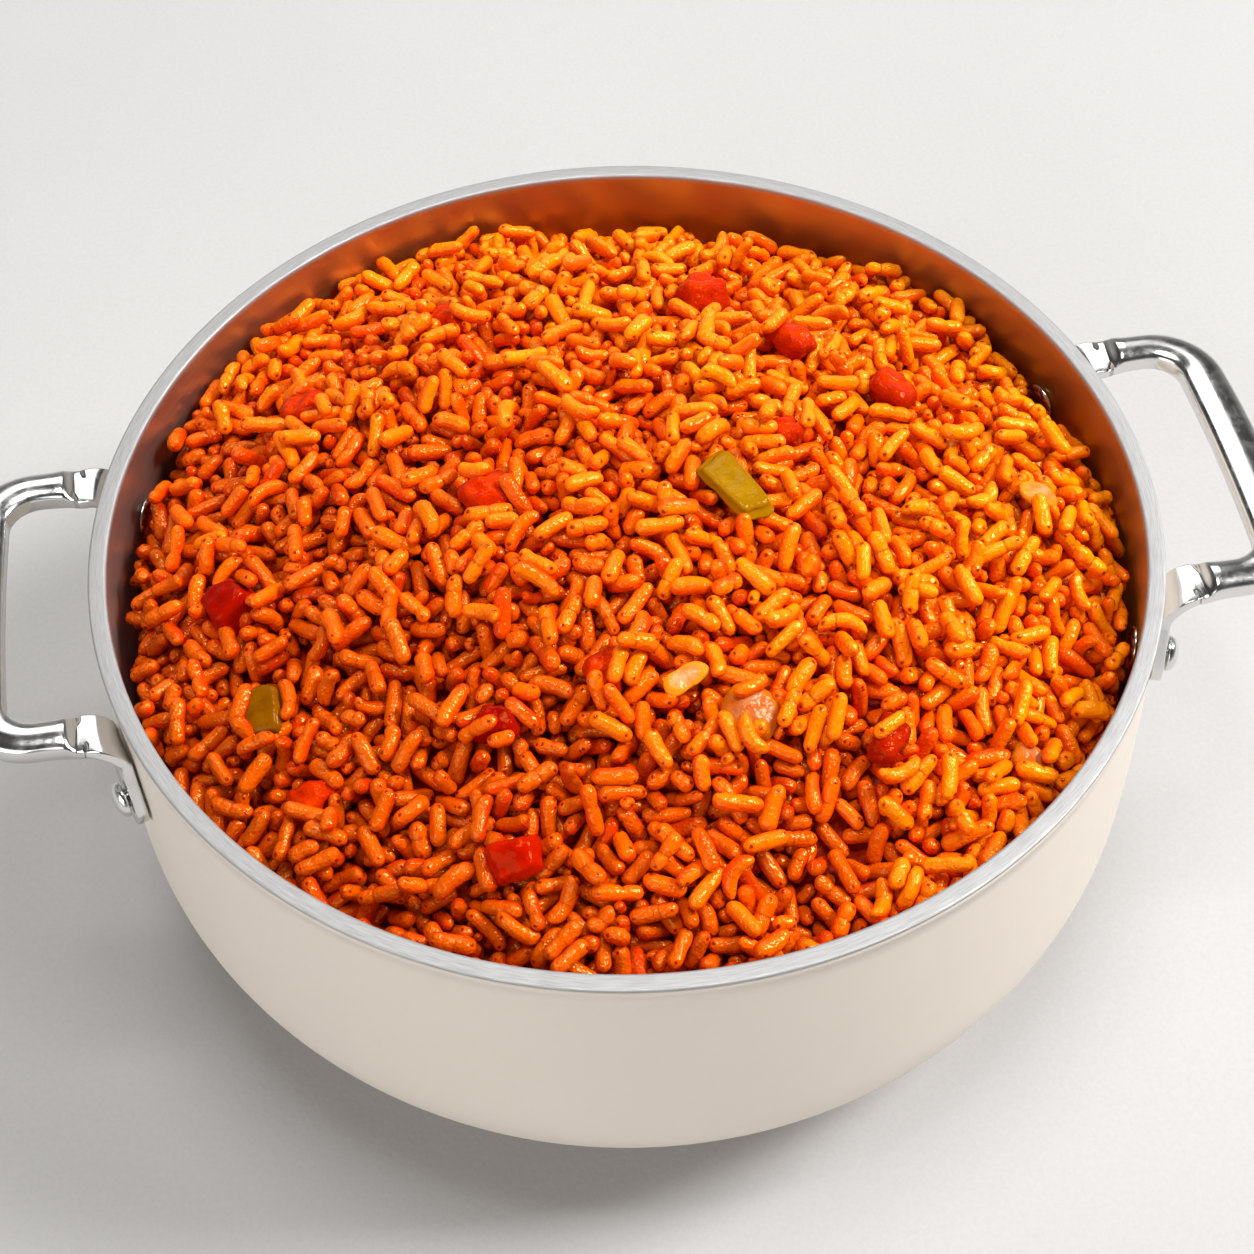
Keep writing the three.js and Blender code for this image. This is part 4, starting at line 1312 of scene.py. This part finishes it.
def uneven_skin(angles, place, phase):
    """Soft waves round a grain and along it, in another place on each grain."""
    wave = np.sin(2 * angles + phase[0] + 0.4 * place)
    wave = wave + 0.9 * np.sin(angles + phase[1] - 1.1 * place)
    wave = wave + 0.7 * np.sin(3 * angles + phase[2] + 1.7 * place)
    return wave + 0.6 * np.sin(phase[3] + 2.6 * place)


def off_the_eyes(local, ends, half, radius, draw):
    """The way from the eye of the nearer end to each point. An eye sits on the
    upper side, where the cap begins to fall."""
    two = (len(local), 2)
    fall = draw.uniform(*EYE_FALL, two)
    roll = draw.normal(0, EYE_ROLL, two)
    cap = radius * np.sqrt(1 - fall**2)
    eyes = np.stack([
        (half + fall * radius) * [-1, 1],
        cap * np.cos(roll) + ends[:, :, 1],
        cap * np.sin(roll) + ends[:, :, 2],
    ], axis=-1)
    eyes[draw.random(two) < PLAIN_ENDS] += FAR_EYE
    nearer = (local[:, :, 0] > 0).astype(int)
    return local - np.take_along_axis(eyes, nearer[:, :, None], axis=1)


def grain_faces(count, rings, sides):
    """The faces of so many grains that follow each other in one mesh."""
    per_grain = rings * sides + 2
    base = (np.arange(count) * per_grain)[:, None, None]
    quads = grid_faces(rings, sides)[None, :, ::-1] + base
    fans = np.vstack(end_fans(rings, sides, per_grain - 2, per_grain - 1))[None] + base
    return [quads.reshape(-1, 4), fans.reshape(-1, 3)]


def grain_mesh(name, grains, draw, rows, sides, bend, waist, creased):
    """One mesh of many grains, each a little different from the next: how far
    it is bent, how deep its waist is and whether it has a crease."""
    count = len(grains["length"])
    one = (count, 1)
    radius = grains["radius"][:, None]
    half = grains["length"][:, None] / 2 - radius
    along = rows[:, 0] * half + rows[:, 1] * radius
    reach = along / (half + radius)

    middle = draw.uniform(-0.4, 0.4, one) * half
    dip = waist * draw.random(one) * np.exp(-(((along - middle) / WAIST_LENGTH) ** 2))
    taper = 1 + draw.uniform(-0.1, 0.1, one) * reach - 0.1 * reach**2
    girth = rows[:, 2] * radius * taper * (1 - dip)

    angles = np.arange(sides) * 2 * math.pi / sides
    phase = draw.uniform(0, 2 * math.pi, (4, count, 1, 1))
    place = along[:, :, None]
    wave = uneven_skin(angles, place, phase)
    has_crease = draw.random(one) < creased
    from_crease = along - middle + FAR_OFF * ~has_crease
    crease_side = np.cos(angles - draw.normal(0, 0.7, one))
    notch = np.exp(-((from_crease / CREASE_WIDTH) ** 2))[:, :, None]
    notch = notch * ((1 + crease_side) / 2)[:, None, :]
    ring = girth[:, :, None] * (1 + WAVE_HEIGHT * wave - CREASE_DEPTH * notch)

    heading = draw.uniform(0, 2 * math.pi, (count, 1, 1))
    curve = (draw.uniform(0.2, 1, one) * bend * (0.4 - reach**2))[:, :, None]
    local = np.stack([
        np.broadcast_to(place, ring.shape),
        ring * np.cos(angles) + curve * np.cos(heading),
        ring * np.sin(angles) + curve * np.sin(heading),
    ], axis=-1).reshape(count, -1, 3)
    tip = (half + radius * CAP_REACH)[:, 0]
    ends = np.stack([
        np.stack([-tip, tip], axis=-1),
        (curve * np.cos(heading))[:, [0, -1], 0],
        (curve * np.sin(heading))[:, [0, -1], 0],
    ], axis=-1)
    local = np.concatenate([local, ends], axis=1)
    points = np.einsum("nvk,nkc->nvc", local, grain_frames(grains, draw))
    points += grains["centre"][:, None, :]

    eye = off_the_eyes(local, ends, half, radius, draw)
    nick = np.zeros_like(local)
    nick[:, :-2, 0] = np.repeat(from_crease, sides, axis=1)
    nick[:, -2:, 0] = FAR_POLE
    nick[:, :-2, 1] = np.tile(crease_side, len(rows))
    flesh = local + draw.uniform(0, 500, (count, 1, 3))
    upper = np.zeros((count, local.shape[1]))
    upper[:, :-2] = np.tile(np.cos(angles), len(rows))

    attributes = {
        "eye": eye.reshape(-1, 3),
        "nick": nick.reshape(-1, 3),
        "flesh": flesh.reshape(-1, 3),
        "upper": upper.ravel(),
        "tone": np.repeat(grains["tone"], local.shape[1]),
    }
    faces = grain_faces(count, len(rows), sides)
    return make_mesh(name, points.reshape(-1, 3), faces, attributes)


def build_grains(rice):
    """The loose grains of several kinds, those of the bed that show between
    them, and plainer ones below."""
    draw = np.random.default_rng(rice.seed)
    grains = settle(rice, draw)
    count = len(grains["length"])
    out = np.hypot(grains["centre"][:, 0], grains["centre"][:, 1]) / HEAP_RADIUS
    # Deeper grains are darker: soaked with sauce, and painted shade.
    soaked_and_shaded = np.clip((grains["depth"] - SOAKED_AND_SHADED_FROM) / SOAKED_AND_SHADED_OVER, 0, 1)
    east, north = grains["centre"][:, :2].T / HEAP_RADIUS
    # Painted light: grains are paler towards the key light at +X and the back light at +Y.
    painted_light = PAINTED_LIGHT_EAST * east + PAINTED_LIGHT_NORTH * north - PAINTED_LIGHT_CORNERS * east * north
    tone = MIDDLE_TONE + TONE_SPREAD * draw.normal(size=count) + painted_light
    # Painted shade near the wall, which shades the grains there.
    tone -= SOAKED_AND_SHADED_TONE * soaked_and_shaded * (1 - painted_light) + WALL_SHADE_TONE * out**3
    grains["tone"] = np.clip(tone, 0, 1)
    material = cooked_rice(rice)

    loose = grains["loose"]
    seen = ~loose & (grains["depth"] < SEEN_DEPTH)
    small = grains["length"] < SMALL_GRAIN
    lot = draw.random(count)
    fine = grain_rows(9, 4)
    good = grain_rows(6, 3)
    plain = grain_rows(3, 2)
    # Name, grains, rows, sides, bend, depth of waist and share with a crease.
    kinds = [
        ("rice_straight", loose & ~small & (lot < 0.45), fine, 14, 0.4, 0.03, 0.15),
        ("rice_waisted", loose & ~small & (lot >= 0.45) & (lot < 0.8), fine, 14, 0.6, 0.18, 0.6),
        ("rice_bent", loose & ~small & (lot >= 0.8), fine, 14, 2.4, 0.08, 0.3),
        ("rice_small", loose & small, fine, 14, 0.5, 0.1, 0.2),
        ("rice_bed_straight", seen & (lot < 0.5), good, 10, 0.5, 0.05, 0.2),
        ("rice_bed_uneven", seen & (lot >= 0.5), good, 10, 1.3, 0.16, 0.4),
        ("rice_bed_low", ~loose & ~seen & (lot < 0.5), plain, 8, 0.8, 0.1, 0.2),
        ("rice_bed_under", ~loose & ~seen & (lot >= 0.5), plain, 8, 0.8, 0.1, 0.2),
    ]
    for name, mask, *form in kinds:
        mesh = grain_mesh(name, chosen(grains, mask), draw, *form)
        add_piece(name, mesh, material, "cooked_rice", "rice")


# ---- Floor, lights and camera ------------------------------------------------


def plaster(colour):
    """Pale, smooth plaster with faint clouds and specks."""
    finish = Finish("Pale plaster", Roughness=0.85)
    cloud = finish.grain(5, detail=3)
    specks = finish.between(finish.grain(700, detail=3, roughness=0.7), 0.3, 0.7)
    tint = finish.mix(cloud, shade(colour, 0.93), shade(colour, 1.05))
    tint = finish.mix(finish.math("MULTIPLY", specks, 0.16), tint, shade(colour, 0.7))
    return finish.feed(
        Base_Color=tint, Normal=finish.bump(finish.grain(600, detail=4), 0.4, 0.2)
    )


def add_light(name, power, size, place):
    """An area light that looks at the pot."""
    lamp = bpy.data.lights.new(name, "AREA")
    lamp.shape = "RECTANGLE"
    lamp.size, lamp.size_y = (side * MM for side in size)
    lamp.energy = power
    light = bpy.data.objects.new(name, lamp)
    light.location = Vector(place) * MM
    light.rotation_mode = "QUATERNION"
    aim = Vector(LIGHTS_AIM) - Vector(place)
    light.rotation_quaternion = aim.to_track_quat("-Z", "Y")
    bpy.context.scene.collection.objects.link(light)


def build_floor(colour):
    """A level floor that the pot stands on."""
    x = y = FLOOR_REACH
    corners = [[-x, -y, 0], [x, -y, 0], [x, y, 0], [-x, y, 0]]
    mesh = make_mesh("floor", corners, [np.array([[0, 1, 2, 3]])])
    floor = bpy.data.objects.new("floor", mesh)
    bpy.context.scene.collection.objects.link(floor)
    mesh.materials.append(plaster(colour))


def build_surround():
    """A dim world that is brighter towards the horizon, for the steel to mirror."""
    world = bpy.data.worlds.new("Soft studio")
    world.use_nodes = True
    nodes, links = world.node_tree.nodes, world.node_tree.links
    background = nodes["Background"]
    background.inputs["Strength"].default_value = 1.0
    direction = nodes.new("ShaderNodeTexCoord")
    parts = nodes.new("ShaderNodeSeparateXYZ")
    fade = nodes.new("ShaderNodeValToRGB")
    links.new(direction.outputs["Generated"], parts.inputs[0])
    links.new(parts.outputs["Z"], fade.inputs[0])
    links.new(fade.outputs[0], background.inputs["Color"])
    for element, (position, rgb) in zip(fade.color_ramp.elements, SURROUND):
        element.position = position
        element.color = (*rgb, 1)
    bpy.context.scene.world = world


def build_camera(lens):
    """A camera that looks down at the heap from the front."""
    data = bpy.data.cameras.new("camera")
    data.lens = lens
    data.sensor_width = SENSOR_WIDTH
    data.clip_start, data.clip_end = 0.01, 20
    camera = bpy.data.objects.new("camera", data)
    columns = [CAMERA_RIGHT, CAMERA_UP, [-c for c in CAMERA_FORWARD]]
    pose = Matrix(columns).transposed().to_4x4()
    pose.translation = Vector(CAMERA_PLACE) * MM
    camera.matrix_world = pose
    bpy.context.scene.collection.objects.link(camera)
    bpy.context.scene.camera = camera


def build_stage(stage):
    build_floor(stage.floor)
    for name, (size, place) in LIGHTS.items():
        add_light(name, getattr(stage, name), size, place)
    build_surround()
    build_camera(stage.lens / MM)
    bpy.context.scene.view_settings.view_transform = "Standard"


# ---- Operators ---------------------------------------------------------------


class JOLLOF_OT_pot(bpy.types.Operator):
    """Make the metal pot and its cream coating"""

    bl_idname = "jollof.pot"
    bl_label = "Pot"

    def execute(self, context):
        build_pot(context.scene.jollof_pot)
        return {"FINISHED"}


class JOLLOF_OT_handles(bpy.types.Operator):
    """Make the two loop handles"""

    bl_idname = "jollof.handles"
    bl_label = "Handles"

    def execute(self, context):
        build_handles(context.scene.jollof_pot)
        return {"FINISHED"}


class JOLLOF_OT_rivets(bpy.types.Operator):
    """Make the four rivets that hold the handles"""

    bl_idname = "jollof.rivets"
    bl_label = "Rivets"

    def execute(self, context):
        build_rivets(context.scene.jollof_pot)
        return {"FINISHED"}


class JOLLOF_OT_vegetables(bpy.types.Operator):
    """Make the bits of tomato, pepper and onion"""

    bl_idname = "jollof.vegetables"
    bl_label = "Vegetables"

    def execute(self, context):
        build_vegetables(context.scene.jollof_vegetables)
        return {"FINISHED"}


class JOLLOF_OT_rice(bpy.types.Operator):
    """Make the core of the heap and the grains that lie on it"""

    bl_idname = "jollof.rice"
    bl_label = "Rice"

    def execute(self, context):
        build_core(context.scene.jollof_rice)
        build_grains(context.scene.jollof_rice)
        return {"FINISHED"}


class JOLLOF_OT_stage(bpy.types.Operator):
    """Make the floor, the lights and the camera"""

    bl_idname = "jollof.stage"
    bl_label = "Stage"

    def execute(self, context):
        build_stage(context.scene.jollof_stage)
        return {"FINISHED"}


OPERATORS = [
    JOLLOF_OT_pot,
    JOLLOF_OT_handles,
    JOLLOF_OT_rivets,
    JOLLOF_OT_vegetables,
    JOLLOF_OT_rice,
    JOLLOF_OT_stage,
]


class JOLLOF_PT_parts(bpy.types.Panel):
    """Lists what can be made"""

    bl_idname = "JOLLOF_PT_parts"
    bl_label = "Pot of jollof rice"
    bl_space_type = "VIEW_3D"
    bl_region_type = "UI"
    bl_category = "Jollof"

    def draw(self, context):
        for operator in OPERATORS:
            self.layout.operator(operator.bl_idname)


SETTINGS = {
    "jollof_pot": PotSettings,
    "jollof_rice": RiceSettings,
    "jollof_vegetables": VegetableSettings,
    "jollof_stage": StageSettings,
}


def register():
    for cls in [*SETTINGS.values(), *OPERATORS, JOLLOF_PT_parts]:
        bpy.utils.register_class(cls)
    for name, group in SETTINGS.items():
        setattr(bpy.types.Scene, name, PointerProperty(type=group))


def unregister():
    for name in SETTINGS:
        delattr(bpy.types.Scene, name)
    for cls in [JOLLOF_PT_parts, *reversed(OPERATORS), *reversed(SETTINGS.values())]:
        bpy.utils.unregister_class(cls)


def main():
    register()
    bpy.ops.jollof.stage()
    bpy.ops.jollof.pot()
    bpy.ops.jollof.handles()
    bpy.ops.jollof.rivets()
    bpy.ops.jollof.vegetables()
    bpy.ops.jollof.rice()


if __name__ == "__main__":
    main()
